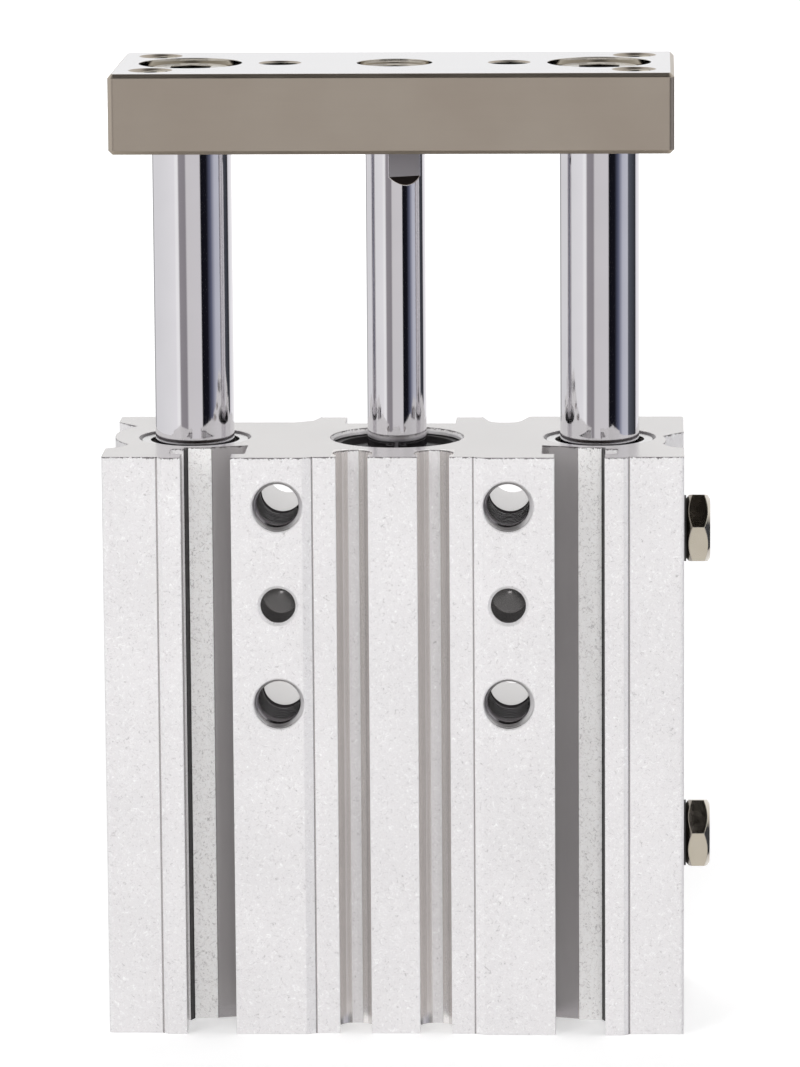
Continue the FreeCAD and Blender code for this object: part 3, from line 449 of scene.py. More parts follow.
    def bare_places(self, tree: Tree, place: Socket) -> list[tuple[Socket, str]]:
        """Mask the sawn ends, the deep strips, the drilled holes and the guide bores' mouths.

        Args:
            tree: Node tree that gets the masks.
            place: Output that gives the surface point.

        Returns:
            A mask of each kind of bare place, with its colour; the strips carry painted light and
            shade, and the tapped stretches, dowel walls and mouths carry painted shade.
        """
        sides = within(tree, up_facing(tree), -LEVEL_FACE, LEVEL_FACE)
        ends = add_node(tree, "ShaderNodeMath", {"operation": "SUBTRACT", 0: 1.0}, {1: sides})
        places = [(ends.outputs["Value"], self.bare)]
        # strips whose colours are painted light and shade
        places += [(self.along(tree, place, strip), strip.colour) for strip in self.bare_strips_painted_shading]
        # the tapped stretches and dowel walls get dark colours as painted shade
        places += [(self.drilled(tree, place, bore), bore.colour) for bore in self.bores_painted_shade]
        # the guide rods' mouths get a dark colour as painted shade
        places.append((self.guide_mouths(tree, place), self.mouth))
        return places

    @staticmethod
    def mirrored(tree: Tree, place: Socket) -> list[Socket]:
        """Return a point's distance from the block's middle plane, its Y and its Z."""
        split = add_node(tree, "ShaderNodeSeparateXYZ", links={"Vector": place}).outputs
        side = add_node(tree, "ShaderNodeMath", {"operation": "ABSOLUTE"}, {0: split["X"]})
        return [side.outputs["Value"], split["Y"], split["Z"]]

    @staticmethod
    def behind_front(tree: Tree, back: Socket, depth_mm: tuple[float, float]) -> Socket:
        """Mask a range of depth behind the block's front face."""
        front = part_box("body")[0].y
        low, high = (front + depth * MILLIMETRE for depth in depth_mm)
        return within(tree, back, low, high)

    @staticmethod
    def distance(tree: Tree, place: Socket, axis: tuple[float, float, float]) -> Socket:
        """Return how far a place lies from a point."""
        settings = {"operation": "DISTANCE", 1: axis}
        return add_node(tree, "ShaderNodeVectorMath", settings, {0: place}).outputs["Value"]

    def along(self, tree: Tree, place: Socket, strip: Strip) -> Socket:
        """Mask a strip.

        Args:
            tree: Node tree that gets the mask.
            place: Output that gives the surface point.
            strip: Where the strip runs.

        Returns:
            One on the strip and zero elsewhere.
        """
        side, back, _ = self.mirrored(tree, place)
        low, high = (size * MILLIMETRE for size in strip.across_mm)
        across = within(tree, side, low, high)
        deep = self.behind_front(tree, back, strip.depth_mm)
        return join_masks(tree, [across, deep], "MULTIPLY")

    def drilled(self, tree: Tree, place: Socket, bore: Bore) -> Socket:
        """Mask a stretch of the holes that are drilled from the front.

        Args:
            tree: Node tree that gets the mask.
            place: Output that gives the surface point.
            bore: The holes' row and the stretch.

        Returns:
            One on the holes' walls and zero elsewhere.
        """
        side, back, height = self.mirrored(tree, place)
        holes = mount("front_fixings")
        across, rise = (holes["dims"][f"spacing_{axis}_mm"] / 2 * MILLIMETRE for axis in "xy")
        flat = add_node(tree, "ShaderNodeCombineXYZ", links={"X": side, "Z": height})
        axis = (across, 0.0, holes["pos_m"][2] + bore.row * rise)
        away = self.distance(tree, flat.outputs["Vector"], axis)
        near = within(tree, away, -1.0, bore.radius_mm * MILLIMETRE)
        deep = self.behind_front(tree, back, bore.depth_mm)
        return join_masks(tree, [near, deep], "MULTIPLY")

    def guide_mouths(self, tree: Tree, place: Socket) -> Socket:
        """Mask the mouths that the guide rods slide through, which are darkened with painted
        shade.

        Args:
            tree: Node tree that gets the mask.
            place: Output that gives the surface point.

        Returns:
            One on the bevels and walls of the mouths and zero elsewhere.
        """
        side, back, height = self.mirrored(tree, place)
        low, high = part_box("left_guide_rod")
        flat = add_node(tree, "ShaderNodeCombineXYZ", links={"X": side, "Y": back})
        axis = (abs(low.x + high.x) / 2, (low.y + high.y) / 2, 0.0)
        away = self.distance(tree, flat.outputs["Vector"], axis)
        inner, outer = (radius * MILLIMETRE for radius in self.mouth_mm)
        near = within(tree, away, inner, outer)
        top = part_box("body")[1].z
        deep = within(tree, height, top - self.mouth_depth_mm * MILLIMETRE, top - SLIVER)
        return join_masks(tree, [near, deep], "MULTIPLY")

    def burr_line(self, tree: Tree, place: Socket, flecks: Socket) -> Socket:
        """Mask the thin uneven burr that sawing and milling leave round the block's top, darkened
        with painted shade.

        Args:
            tree: Node tree that gets the mask.
            place: Output that gives the surface point.
            flecks: Noise that breaks the burr up.

        Returns:
            One within the burr and zero elsewhere.
        """
        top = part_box("body")[1].z
        reach = self.burr_mm * MILLIMETRE
        height = add_node(tree, "ShaderNodeSeparateXYZ", links={"Vector": place}).outputs["Z"]
        wander = add_node(
            tree,
            "ShaderNodeMapRange",
            {"From Min": 0.35, "From Max": 0.6, "To Min": reach, "To Max": -reach},
            {"Value": flecks},
        ).outputs["Result"]
        ragged = add_node(
            tree, "ShaderNodeMath", {"operation": "ADD"}, {0: height, 1: wander}
        ).outputs["Value"]
        line = within(tree, ragged, top - reach, top + reach)
        side = within(tree, height, 0.0, top - SLIVER)
        return join_masks(tree, [line, side], "MULTIPLY")


@dataclass(frozen=True)
class WorkedMetal:
    """A bare or plated metal with the marks of the tool that finished it.

    Grinding and polishing leave fine straight scratches, and turning leaves fine rings. Both
    stretch reflections a little across the marks and break them up.
    """

    name: str
    colour: str
    shade: str
    roughness: float
    mark_mm: tuple[float, float, float]
    mark_depth_mm: float = 0.002
    roughness_spread: float = 0.05
    cloud_mm: float = 9.0
    edge_mm: float = 0.12
    turned: bool = False

    def material(self) -> Material:
        """Build the finish.

        Returns:
            A metal whose marks are as long as mark_mm says in each direction, or rings if turned.
        """
        material, tree, shader = start_material(self.name)
        place = object_place(tree)
        marks = self.marks(tree, place)
        clouds = add_node(
            tree,
            "ShaderNodeTexNoise",
            {"Scale": per_metre(self.cloud_mm), "Detail": 3.0},
            {"Vector": place},
        )
        tones = [(0.35, self.shade), (0.65, self.colour)]
        colour = add_ramp(tree, clouds.outputs["Fac"], tones)
        tree.links.new(colour, shader.inputs["Base Color"])
        rough = add_node(
            tree,
            "ShaderNodeMapRange",
            {
                "From Min": NOISE_LOW,
                "From Max": NOISE_HIGH,
                "To Min": max(0.01, self.roughness - self.roughness_spread),
                "To Max": self.roughness + self.roughness_spread,
            },
            {"Value": marks},
        )
        tree.links.new(rough.outputs["Result"], shader.inputs["Roughness"])
        bump = add_node(
            tree,
            "ShaderNodeBump",
            {"Distance": self.mark_depth_mm * MILLIMETRE, "Strength": 1.0},
            {"Height": marks, "Normal": round_edges(tree, self.edge_mm)},
        )
        tree.links.new(bump.outputs["Normal"], shader.inputs["Normal"])
        shader.inputs["Metallic"].default_value = 1.0
        return material

    def marks(self, tree: Tree, place: Socket) -> Socket:
        """Make the height of the tool marks.

        Args:
            tree: Node tree that gets them.
            place: Output that gives the surface point.

        Returns:
            The marks' height, from 0 to 1.
        """
        if self.turned:
            rings = add_node(
                tree,
                "ShaderNodeTexWave",
                {
                    "wave_type": "RINGS",
                    "rings_direction": "Z",
                    "Scale": per_metre(self.mark_mm[0]) / RING_WAVES,
                    "Distortion": 1.5,
                    "Detail": 2.0,
                },
                {"Vector": place},
            )
            return rings.outputs["Fac"]
        stretched = add_node(
            tree,
            "ShaderNodeVectorMath",
            {"operation": "MULTIPLY", 1: tuple(per_metre(size) for size in self.mark_mm)},
            {0: place},
        )
        noise = add_node(
            tree,
            "ShaderNodeTexNoise",
            {"Scale": 1.0, "Detail": 4.0, "Roughness": 0.7},
            {"Vector": stretched.outputs["Vector"]},
        )
        return noise.outputs["Fac"]


@dataclass(frozen=True)
class RefinishedMetal(WorkedMetal):
    """A worked metal of which some places were finished another way."""

    place_colour: str = "#FFFFFF"
    place_roughness: float = 0.3

    def places(self, tree: Tree) -> list[tuple[Socket, str, float]]:
        """Return a mask, a colour and a roughness for each kind of place."""
        raise NotImplementedError

    def material(self) -> Material:
        """Build the finish and lay the other finishes over their places."""
        material = super().material()
        tree = material.node_tree
        shader = next(node for node in tree.nodes if node.type == "BSDF_PRINCIPLED")
        for mask, colour, roughness in self.places(tree):
            tint, rough = (shader.inputs[name] for name in ("Base Color", "Roughness"))
            painted = lay_over(tree, tint.links[0].from_socket, colour, mask)
            links = {0: mask, 2: rough.links[0].from_socket}
            mix = add_node(tree, "ShaderNodeMix", {"data_type": "FLOAT", 3: roughness}, links)
            tree.links.new(painted, tint)
            tree.links.new(mix.outputs["Result"], rough)
        return material


@dataclass(frozen=True)
class RodWithFlats(RefinishedMetal):
    """Hard chrome with two spanner flats milled through it, which show dull steel and end in
    run-outs darkened with painted shade.
    """

    radius_mm: float = 2.965
    flat_mm: float = 3.2
    runout_mm: float = 4.3
    runout_painted_shade: str = "#3C383A"

    def places(self, tree: Tree) -> list[tuple[Socket, str, float]]:
        """Return the flats, which lie inside the rod's round surface, and their run-outs,
        darkened with painted shade.
        """
        place = object_place(tree)
        split = add_node(tree, "ShaderNodeSeparateXYZ", links={"Vector": place}).outputs
        flat = add_node(tree, "ShaderNodeCombineXYZ", links={"X": split["X"], "Y": split["Y"]})
        links = {0: flat.outputs["Vector"]}
        away = add_node(tree, "ShaderNodeVectorMath", {"operation": "LENGTH"}, links)
        sunk = within(tree, away.outputs["Value"], 0.0, self.radius_mm * MILLIMETRE)
        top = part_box("end_plate")[0].z
        places = []
        for low, high, colour in (
            (self.flat_mm, 0.0, self.place_colour),
            (self.runout_mm, self.flat_mm, self.runout_painted_shade),
        ):
            level = within(tree, split["Z"], top - low * MILLIMETRE, top - high * MILLIMETRE)
            mask = join_masks(tree, [sunk, level], "MULTIPLY")
            places.append((mask, colour, self.place_roughness))
        return places


@dataclass(frozen=True)
class DrilledPlate(RefinishedMetal):
    """A ground and plated plate with a lapped top, made paler with painted light, whose holes
    were reamed bright.
    """

    margin_mm: float = 0.7
    reamed_colour: str = "#D9D4CB"
    reamed_roughness: float = 0.09
    steepest: float = 0.3

    def places(self, tree: Tree) -> list[tuple[Socket, str, float]]:
        """Return the top, paler with painted light, and the holes' walls, which lie well inside
        the plate's box.
        """
        split = add_node(tree, "ShaderNodeSeparateXYZ", links={"Vector": object_place(tree)})
        low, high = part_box("end_plate")
        margin = self.margin_mm * MILLIMETRE
        upright = up_facing(tree)
        top = within(tree, upright, LEVEL_FACE, 2.0 - LEVEL_FACE)
        inside = [
            within(tree, split.outputs["X"], low.x + margin, high.x - margin),
            within(tree, split.outputs["Y"], low.y + margin, high.y - margin),
            within(tree, upright, -self.steepest, self.steepest),
        ]
        walls = join_masks(tree, inside, "MULTIPLY")
        return [
            (top, self.place_colour, self.place_roughness),
            (walls, self.reamed_colour, self.reamed_roughness),
        ]


@dataclass(frozen=True)
class CutThread(RefinishedMetal):
    """A thread cut in aluminium, darkened all down the hole with painted shade, with painted
    light on the turns where the countersink opens it.
    """

    painted_light_mm: float = 1.4

    def places(self, tree: Tree) -> list[tuple[Socket, str, float]]:
        """Return the turns just behind the block's front, which get painted light."""
        split = add_node(tree, "ShaderNodeSeparateXYZ", links={"Vector": object_place(tree)})
        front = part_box("body")[0].y
        deep = front + self.painted_light_mm * MILLIMETRE
        mask = within(tree, split.outputs["Y"], front, deep)
        return [(mask, self.place_colour, self.place_roughness)]


@dataclass(frozen=True)
class MouldedRubber:
    """Moulded nitrile rubber: nearly black, matt, with a faint bloom and a fine texture."""

    name: str = "moulded_nitrile_rubber"
    colour: str = "#1C1B1C"
    bloom: str = "#343335"
    roughness: float = 0.55
    bloom_mm: float = 2.0
    texture_mm: float = 0.15
    texture_depth_mm: float = 0.01
    edge_mm: float = 0.08

    def material(self) -> Material:
        """Build the finish."""
        material, tree, shader = start_material(self.name)
        place = object_place(tree)
        bloom = add_node(
            tree,
            "ShaderNodeTexNoise",
            {"Scale": per_metre(self.bloom_mm), "Detail": 4.0},
            {"Vector": place},
        )
        colour = add_ramp(tree, bloom.outputs["Fac"], [(0.4, self.colour), (0.75, self.bloom)])
        tree.links.new(colour, shader.inputs["Base Color"])
        fine = add_node(
            tree,
            "ShaderNodeTexNoise",
            {"Scale": per_metre(self.texture_mm), "Detail": 2.0},
            {"Vector": place},
        )
        bump = add_node(
            tree,
            "ShaderNodeBump",
            {"Distance": self.texture_depth_mm * MILLIMETRE},
            {"Height": fine.outputs["Fac"], "Normal": round_edges(tree, self.edge_mm)},
        )
        tree.links.new(bump.outputs["Normal"], shader.inputs["Normal"])
        shader.inputs["Roughness"].default_value = self.roughness
        return material


@dataclass(frozen=True)
class OiledFelt:
    """Pressed wool felt soaked in oil: dark, fibrous and without gloss."""

    name: str = "oiled_wool_felt"
    colour: str = "#4A4640"
    fibre: str = "#716B60"
    fibre_mm: tuple[float, float, float] = (0.12, 0.12, 0.6)
    fibre_depth_mm: float = 0.08
    roughness: float = 0.95
    fuzz: float = 0.4

    def material(self) -> Material:
        """Build the finish."""
        material, tree, shader = start_material(self.name)
        stretched = add_node(
            tree,
            "ShaderNodeVectorMath",
            {"operation": "MULTIPLY", 1: tuple(per_metre(size) for size in self.fibre_mm)},
            {0: object_place(tree)},
        )
        fibres = add_node(
            tree,
            "ShaderNodeTexNoise",
            {"Scale": 1.0, "Detail": 5.0, "Distortion": 2.0},
            {"Vector": stretched.outputs["Vector"]},
        )
        colour = add_ramp(tree, fibres.outputs["Fac"], [(0.35, self.colour), (0.65, self.fibre)])
        tree.links.new(colour, shader.inputs["Base Color"])
        bump = add_node(
            tree,
            "ShaderNodeBump",
            {"Distance": self.fibre_depth_mm * MILLIMETRE},
            {"Height": fibres.outputs["Fac"]},
        )
        tree.links.new(bump.outputs["Normal"], shader.inputs["Normal"])
        shader.inputs["Roughness"].default_value = self.roughness
        shader.inputs["Sheen Weight"].default_value = self.fuzz
        return material


def mount(name: str) -> dict:
    """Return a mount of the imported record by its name."""
    return next(entry for entry in frame["record"]["mounts"] if entry["name"] == name)


def dress(nodes: list[str], finish: object) -> None:
    """Give CAD nodes a finish.

    Args:
        nodes: Names of the CAD nodes.
        finish: Anything with a name and a material method.
    """
    material = bpy.data.materials.get(finish.name) or finish.material()
    for node in nodes:
        slots = frame["nodes"][node].data.materials
        slots.clear()
        slots.append(material)
        LOG.info("%s is finished as %s", node, finish.name)


def add_piece(
    name: str, mesh: bmesh.types.BMesh, body: Body, finish: object
) -> bpy.types.Object:
    """Turn a finished mesh into a piece that rides on a body.

    Args:
        name: The piece's name.
        mesh: Its geometry in the row frame, in metres; it is freed.
        body: The body that carries it.
        finish: Its finish.

    Returns:
        The new object.
    """
    data = bpy.data.meshes.new(name)
    bmesh.ops.recalc_face_normals(mesh, faces=mesh.faces)
    mesh.to_mesh(data)
    mesh.free()
    data.materials.append(bpy.data.materials.get(finish.name) or finish.material())
    piece = bpy.data.objects.new(name, data)
    bpy.context.scene.collection.objects.link(piece)
    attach(piece, body.value)
    LOG.info("%s rides on %s with %d faces", name, body.value, len(data.polygons))
    return piece


# Bead blasting makes the whole block one soft pale silver; its fine glitter is painted into the
# colour as painted glints, with painted light and shade in its slots, grooves and holes.
BLASTED = BlastedAnodising()
# Level grinding marks blur the plate's sides into a warm grey; its lapped top mirrors the room
# and is made paler with painted light.
GROUND_NICKEL = DrilledPlate(
    "ground_nickel_plate",
    "#B6AC9F",
    "#B2A79A",
    0.34,
    (6.0, 0.12, 0.12),
    0.0015,
    # lapped and paler top: smoother finish and painted light
    place_colour="#DEDDDF",
    place_roughness=0.2,
)
# The same chrome as on the guide rods, with matt grey flats that end in a slope darkened with
# painted shade.
MILLED_ROD = RodWithFlats(
    "ground_chrome_with_milled_flats",
    "#E4E2E5",
    "#DFDDE0",
    0.06,
    (3.0, 3.0, 0.15),
    0.0003,
    0.02,
    place_colour="#CDC9CB",
    place_roughness=0.46,
)
# Near-mirror chrome stretches the room into sharp upright bands down the rods.
HARD_CHROME = WorkedMetal(
    "ground_hard_chrome", "#E4E2E5", "#DFDDE0", 0.06, (3.0, 3.0, 0.15), 0.0003, 0.02
)
# A warm bright plate gives the plugs flat facets, one light and the next dark.
BRIGHT_NICKEL = WorkedMetal(
    "bright_nickel_plate", "#D6CFC2", "#CBC3B5", 0.12, (0.8, 0.8, 0.8), 0.001, 0.04
)
# Fine turned rings spread the light on the collar, the cover and the piston into arcs.
TURNED_ALUMINIUM = WorkedMetal(
    "turned_aluminium", "#C6C5C7", "#B9B8BB", 0.28, (0.2, 0.2, 0.2), 0.004, turned=True
)
# Phosphate leaves the retaining rings a dull dark grey.
SPRING_STEEL = WorkedMetal(
    "phosphated_spring_steel", "#4C4A4B", "#3A3839", 0.45, (0.15, 0.15, 0.15), 0.004
)
# Pressed bronze powder is brown-gold and grainy.
SINTERED_BRONZE = WorkedMetal(
    "sintered_bronze", "#A98655", "#8B6B40", 0.42, (0.2, 0.2, 0.2), 0.008
)
# Thin plated sheet makes the wiper holders clean bright rings round the rods.
PRESSED_STEEL = WorkedMetal(
    "plated_pressed_steel", "#D9D8D8", "#CCCBCB", 0.18, (0.6, 0.6, 0.6), 0.001
)
# Smooth plate over turned heads gives the screws crescents of light round black sockets.
SCREW_STEEL = WorkedMetal(
    "plated_screw_steel", "#ADA79D", "#9E978B", 0.1, (0.25, 0.25, 0.25), 0.001, turned=True
)
# Powder bound in resin is matt and almost black.
MAGNET = WorkedMetal("bonded_magnet", "#4A4544", "#3B3736", 0.6, (0.3, 0.3, 0.3), 0.006)
# Freshly cut turns catch light one by one; their colour is painted shade all down the hole, with
# painted light on the first turns behind the front.
THREAD_PAINTED_LIGHT_AND_SHADE = CutThread(
    "thread_cut_aluminium_painted_light_and_shade",
    "#8B878A",
    "#7C787B",
    0.16,
    (0.3, 0.3, 0.3),
    0.002,
    place_colour="#E6E4E5",
    place_roughness=0.4,
)
# Rubber is the one black matt part, so washers and seals read as thin dark lines.
RUBBER = MouldedRubber()
# Felt takes all gloss away from the ring round each guide rod.
FELT = OiledFelt()


@dataclass(frozen=True)
class Thread:
    """An internal screw thread that lines the plain holes of one mount."""

    mount: str
    facing: Facing
    wall_mm: float
    crest_mm: float
    mouth_mm: float
    pitch_mm: float
    length_mm: float
    body: Body
    finish: object
    slot: str
    steps: int = 40
    root_mm: float = 0.01
    root_reach: float = 0.46
    crest_reach: float = 0.07

    def mouths(self) -> list[Vector]:
        """Return the middle of each of the mount's mouths."""
        entry = mount(self.mount)
        sizes = entry["dims"]
        x = sizes.get("spacing_x_mm", 0.0) / 2 * MILLIMETRE
        y = sizes.get("spacing_y_mm", 0.0) / 2 * MILLIMETRE
        upright = self.facing in (Facing.UP, Facing.DOWN)
        spread = {(right * x, up * y) for right in (-1, 1) for up in (-1, 1)}
        centre = Vector(entry["pos_m"])
        return [
            centre + Vector((dx, dy, 0.0) if upright else (dx, 0.0, dy))
            for dx, dy in sorted(spread)
        ]

    def build(self) -> None:
        """Cut the thread in each hole."""
        for number, mouth in enumerate(self.mouths(), start=1):
            name = f"{self.mount}_thread_{number}"
            add_piece(name, self.ridge(mouth), self.body, self.finish)

    def ridge(self, mouth: Vector) -> bmesh.types.BMesh:
        """Sweep the thread's ridge down a hole, growing from nothing over its first turn.

        Args:
            mouth: The middle of the hole's mouth.

        Returns:
            The ridge as a closed mesh.
        """
        mesh = bmesh.new()
        turns = self.length_mm / self.pitch_mm - 1
        count = int(turns * self.steps)
        root = self.wall_mm + self.root_mm
        sections = []
        for step in range(count + 1):
            angle = 2 * math.pi * step / self.steps
            depth = self.pitch_mm * (0.5 + step / self.steps)
            growth = min(1.0, step / self.steps, (count - step) / self.steps)
            full = self.wall_mm + (self.crest_mm - self.wall_mm) * growth
            crest = max(full, min(self.wall_mm, self.mouth_mm - depth))
            section = []
            for radius, along in (
                (root, -self.root_reach),
                (crest, -self.crest_reach),
                (crest, self.crest_reach),
                (root, self.root_reach),
            ):
                level = -(depth + along * self.pitch_mm)
                point = Vector((radius * math.cos(angle), radius * math.sin(angle), level))
                section.append(mesh.verts.new(mouth + self.facing.value @ (point * MILLIMETRE)))
            sections.append(section)
        for here, there in zip(sections, sections[1:]):
            for corner in range(4):
                beside = (corner + 1) % 4
                mesh.faces.new((here[corner], here[beside], there[beside], there[corner]))
        for section in (sections[0], sections[-1]):
            mesh.faces.new(section)
        return mesh


@dataclass
class Block:
    """The slotted block with everything fixed to it."""

    slot: str = "anodised_aluminium"
    front_thread_mm: tuple[float, float, float, float] = (2.5, 2.12, 2.6, 0.8)
    foot_thread_mm: tuple[float, float, float, float] = (1.7, 1.46, 2.0, 0.7)
    port_thread_mm: tuple[float, float, float, float] = (2.1, 1.84, 2.4, 0.8)
    front_depth_mm: float = 9.9
    foot_depth_mm: float = 7.6
    port_depth_mm: float = 4.2

    def dress(self) -> None:
        """Finish the block and the pieces seated in it."""
        dress(["body"], BLASTED)
        dress(["rod_collar", "head_cover"], TURNED_ALUMINIUM)
        dress(["collar_retaining_ring", "head_retaining_ring"], SPRING_STEEL)
        pairs = [(side, level) for side in ("left", "right") for level in ("lower", "upper")]
        dress([f"{side}_{level}_bush" for side, level in pairs], SINTERED_BRONZE)
        dress(["left_felt_wiper", "right_felt_wiper"], FELT)
        dress(["left_wiper_holder", "right_wiper_holder"], PRESSED_STEEL)
        dress(["upper_port_plug", "lower_port_plug"], BRIGHT_NICKEL)
        dress(
            [
                "upper_plug_washer",
                "lower_plug_washer",
                "collar_gasket",
                "head_gasket",
                "rod_seal",
                "rod_bumper",
                "head_bumper",
            ],
            RUBBER,
        )

    def build(self) -> None:
        """Dress the block and cut its threads."""
        self.dress()
        for place, facing, sizes, depth in (
            ("front_fixings", Facing.FRONT, self.front_thread_mm, self.front_depth_mm),
            ("foot_fixings", Facing.DOWN, self.foot_thread_mm, self.foot_depth_mm),
            ("upper_rear_port", Facing.REAR, self.port_thread_mm, self.port_depth_mm),
            ("lower_rear_port", Facing.REAR, self.port_thread_mm, self.port_depth_mm),
        ):
            Thread(place, facing, *sizes, depth, Body.BLOCK, THREAD_PAINTED_LIGHT_AND_SHADE, self.slot).build()


@dataclass
class Carriage:
    """The end plate, its rods and screws, and the piston."""

    plate_slot: str = "nickel_plated_steel"
    plate_thread_mm: tuple[float, float, float, float] = (1.7, 1.46, 2.1, 0.7)
    plate_margin_mm: float = 0.3

    def dress(self) -> None:
        """Finish the moving pieces."""
        dress(["end_plate"], GROUND_NICKEL)
        dress(["piston_rod"], MILLED_ROD)
        dress(["left_guide_rod", "right_guide_rod"], HARD_CHROME)
        dress(["rod_screw", "left_guide_screw", "right_guide_screw"], SCREW_STEEL)
        dress(["piston"], TURNED_ALUMINIUM)
        dress(["piston_seal"], RUBBER)
        dress(["piston_magnet"], MAGNET)

    def build(self) -> None:
        """Dress the carriage and add what is too fine for its solids."""
        self.dress()
        low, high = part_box("end_plate")
        depth = (high.z - low.z) / MILLIMETRE - self.plate_margin_mm
        Thread(
            "plate_fixings",
            Facing.UP,
            *self.plate_thread_mm,
            depth,
            Body.CARRIAGE,
            BRIGHT_NICKEL,
            self.plate_slot,
        ).build()


@dataclass(frozen=True)
class Lamp:
    """A soft square lamp that no metal mirrors."""

    name: str
    spot_m: tuple[float, float, float]
    size_m: float
    watts: float

    def build(self, target: Vector) -> None:
        """Hang the lamp and turn it to the target."""
        data = bpy.data.lights.new(self.name, "AREA")
        data.shape = "SQUARE"
        data.size = self.size_m
        data.energy = self.watts
        lamp = bpy.data.objects.new(self.name, data)
        turn = (target - Vector(self.spot_m)).to_track_quat("-Z", "Y").to_matrix().to_4x4()
        lamp.matrix_world = Matrix.Translation(self.spot_m) @ turn
        lamp.visible_glossy = False
        bpy.context.scene.collection.objects.link(lamp)


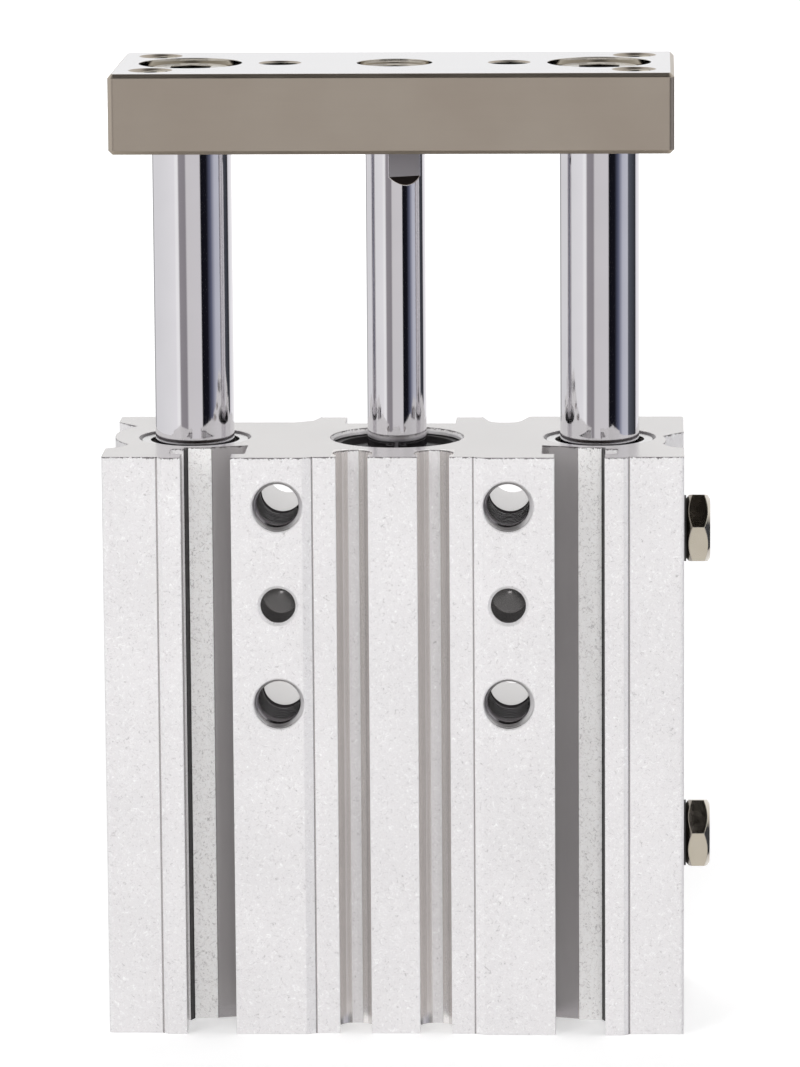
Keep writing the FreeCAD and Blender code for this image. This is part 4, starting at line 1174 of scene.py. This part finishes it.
@dataclass
class Studio:
    """A white sweep with a long lens a little above the object and a dark flag over it."""

    elevation_deg: float = 10.09
    azimuth_deg: float = 2.35
    roll_deg: float = 0.40
    distance_m: float = 0.637
    lens_mm: float = 211.6
    nearest_m: float = 0.01
    target_m: tuple[float, float, float] = (0.00022, 0.0, 0.04905)
    floor_m: float = 6.0
    floor_colour: str = "#F2F2F2"
    floor_roughness: float = 0.9
    floor_glow: float = 0.35
    ambient: float = 0.38
    flag_elevation_deg: float = 60.0
    flag_reach_deg: tuple[float, float] = (40.0, 34.0)
    flag_colour: str = "#211F1E"
    lamps: tuple[Lamp, ...] = (
        Lamp("key_lamp", (0.07, -1.16, 0.30), 0.2, 7.3),
        Lamp("left_lamp", (-0.6, -0.8, 0.55), 0.45, 2.6),
        Lamp("right_lamp", (0.85, -0.1, 0.5), 0.5, 1.6),
        Lamp("rear_lamp", (-0.2, 1.0, 0.55), 0.6, 4.5),
    )

    def camera(self) -> None:
        """Place the camera."""
        azimuth, elevation = math.radians(self.azimuth_deg), math.radians(self.elevation_deg)
        back = Vector(
            (
                math.sin(azimuth) * math.cos(elevation),
                -math.cos(azimuth) * math.cos(elevation),
                math.sin(elevation),
            )
        )
        turn = back.to_track_quat("Z", "Y").to_matrix().to_4x4()
        roll = Matrix.Rotation(math.radians(-self.roll_deg), 4, "Z")
        data = bpy.data.cameras.new("camera")
        data.lens = self.lens_mm
        data.clip_start = self.nearest_m
        camera = bpy.data.objects.new("camera", data)
        spot = Vector(self.target_m) + back * self.distance_m
        camera.matrix_world = Matrix.Translation(spot) @ turn @ roll
        bpy.context.scene.collection.objects.link(camera)
        bpy.context.scene.camera = camera

    def floor(self) -> None:
        """Lay a pale floor that shows the object's shadow and is white elsewhere."""
        half = self.floor_m / 2
        low = CAD_BOX[0][2]
        mesh = bpy.data.meshes.new("floor")
        corners = [(-half, -half, low), (half, -half, low), (half, half, low), (-half, half, low)]
        mesh.from_pydata(corners, [], [(0, 1, 2, 3)])
        floor = bpy.data.objects.new("floor", mesh)
        bpy.context.scene.collection.objects.link(floor)
        material, tree, shader = start_material("white_sweep")
        seen = add_node(tree, "ShaderNodeLightPath").outputs["Is Camera Ray"]
        shader.inputs["Base Color"].default_value = linear(self.floor_colour)
        shader.inputs["Roughness"].default_value = self.floor_roughness
        shader.inputs["Emission Color"].default_value = linear("#FFFFFF")
        settings = {"operation": "MULTIPLY", 1: self.floor_glow}
        glow = add_node(tree, "ShaderNodeMath", settings, {0: seen})
        tree.links.new(glow.outputs["Value"], shader.inputs["Emission Strength"])
        mesh.materials.append(material)
        floor.visible_glossy = False

    def world(self) -> None:
        """Light the object evenly, show the camera white, and give metals a room to mirror."""
        world = bpy.data.worlds.new("studio")
        bpy.context.scene.world = world
        world.use_nodes = True
        tree = world.node_tree
        tree.nodes.clear()
        path = add_node(tree, "ShaderNodeLightPath").outputs
        even = (self.ambient, self.ambient, self.ambient, 1.0)
        lit = lay_over(tree, even, self.room(tree), path["Is Glossy Ray"])
        eyes = [path["Is Camera Ray"], path["Is Transmission Ray"]]
        final = lay_over(tree, lit, "#FFFFFF", join_masks(tree, eyes, "MAXIMUM"))
        light = add_node(tree, "ShaderNodeBackground", {"Strength": 1.0}, {"Color": final})
        add_node(tree, "ShaderNodeOutputWorld", links={"Surface": light.outputs["Background"]})
        world.cycles.sampling_method = "NONE"

    def room(self, tree: Tree) -> Socket:
        """Build the room that metals mirror.

        It is white, with the walls' panels round the horizon, a little duller towards the
        ceiling and the ground, and a dark flag hangs above the front.

        Args:
            tree: The world's node tree.

        Returns:
            The output that gives the room's colour.
        """
        heading = add_node(tree, "ShaderNodeTexCoord").outputs["Generated"]
        split = add_node(tree, "ShaderNodeSeparateXYZ", links={"Vector": heading}).outputs
        turned = {"operation": "MULTIPLY", 1: -1.0}
        forward = add_node(tree, "ShaderNodeMath", turned, {0: split["Y"]}).outputs["Value"]
        links = {0: split["X"], 1: forward}
        azimuth = add_node(tree, "ShaderNodeMath", {"operation": "ARCTAN2"}, links)
        around = add_node(
            tree,
            "ShaderNodeMapRange",
            {"From Min": -math.pi, "From Max": math.pi},
            {"Value": azimuth.outputs["Value"]},
        ).outputs["Result"]
        panels = add_ramp(tree, around, [((deg + 180) / 360, tone) for deg, tone in self.walls()])
        ends = {"From Min": -1.0, "From Max": 1.0}
        links = {"Value": split["Z"]}
        rise = add_node(tree, "ShaderNodeMapRange", ends, links).outputs["Result"]
        share, level = (
            add_ramp(tree, rise, [(self.height(deg), tone) for deg, tone in stops])
            for stops in (self.wall_share(), self.levels())
        )
        room = lay_over(tree, "#FFFFFF", panels, share)
        room = lay_over(tree, room, level, 1.0, "MULTIPLY")
        tilt = math.radians(self.flag_elevation_deg)
        aim = {"operation": "DOT_PRODUCT", 1: (0.0, -math.cos(tilt), math.sin(tilt))}
        toward = add_node(tree, "ShaderNodeVectorMath", aim, {0: heading}).outputs["Value"]
        outer, inner = (math.cos(math.radians(reach)) for reach in self.flag_reach_deg)
        flag = add_ramp(tree, toward, [(outer, "#FFFFFF"), (inner, self.flag_colour)])
        return lay_over(tree, room, flag, 1.0, "MULTIPLY")

    @staticmethod
    def height(degrees: float) -> float:
        """Return the place on a ramp up the room of a height above the horizon."""
        return (math.sin(math.radians(degrees)) + 1) / 2

    @staticmethod
    def walls() -> list[tuple[float, str]]:
        """Return headings in degrees, from the front towards +X, with what stands there."""
        return [
            # white wall behind, with a narrow grey post at the left
            (-180, "#FFFFFF"),
            (-164, "#FFFFFF"),
            (-152, "#77777A"),
            (-145, "#E4E4E6"),
            # left wall, a bright edge and a grey screen left of the camera
            (-74, "#EFEFF0"),
            (-50, "#F4F3F5"),
            (-46, "#FFFFFF"),
            (-39, "#FFFFFF"),
            (-35, "#9A969A"),
            (-17, "#949094"),
            # pale sheet round the camera
            (-13, "#DCDADB"),
            (26.6, "#DEDCDE"),
            # black screen right of the camera, fading into a bluish right wall
            (27.2, "#14141A"),
            (46, "#17171F"),
            (58, "#61657A"),
            (72, "#C4C6D2"),
            (90, "#CDCFD8"),
            # dark doorway at the right, then the white wall again
            (94, "#5A5D66"),
            (122, "#3C3E44"),
            (129, "#2A2A2E"),
            (133, "#EAE9EE"),
            (160, "#FFFFFF"),
            (180, "#FFFFFF"),
        ]

    @staticmethod
    def levels() -> list[tuple[float, str]]:
        """Return heights in degrees above the horizon with how bright the room is there."""
        return [
            (-90, "#DEDBD6"),
            (-50, "#E4E2DE"),
            (-20, "#FFFFFF"),
            (25, "#FFFFFF"),
            (90, "#E8E8E8"),
        ]

    @staticmethod
    def wall_share() -> list[tuple[float, str]]:
        """Return heights in degrees with how far the panels show instead of plain white."""
        return [(-50, "#000000"), (-28, "#FFFFFF"), (0, "#FFFFFF"), (10, "#202020")]

    def build(self) -> None:
        """Set up the camera, the light and the floor."""
        self.camera()
        self.floor()
        for lamp in self.lamps:
            lamp.build(Vector(self.target_m))
        self.world()
        bpy.context.scene.view_settings.view_transform = "Standard"


def main() -> None:
    """Dress the object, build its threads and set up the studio."""
    logging.basicConfig(level=logging.INFO, format="%(name)s: %(message)s")
    Block().build()
    Carriage().build()
    Studio().build()


if __name__ == "__main__":
    main()
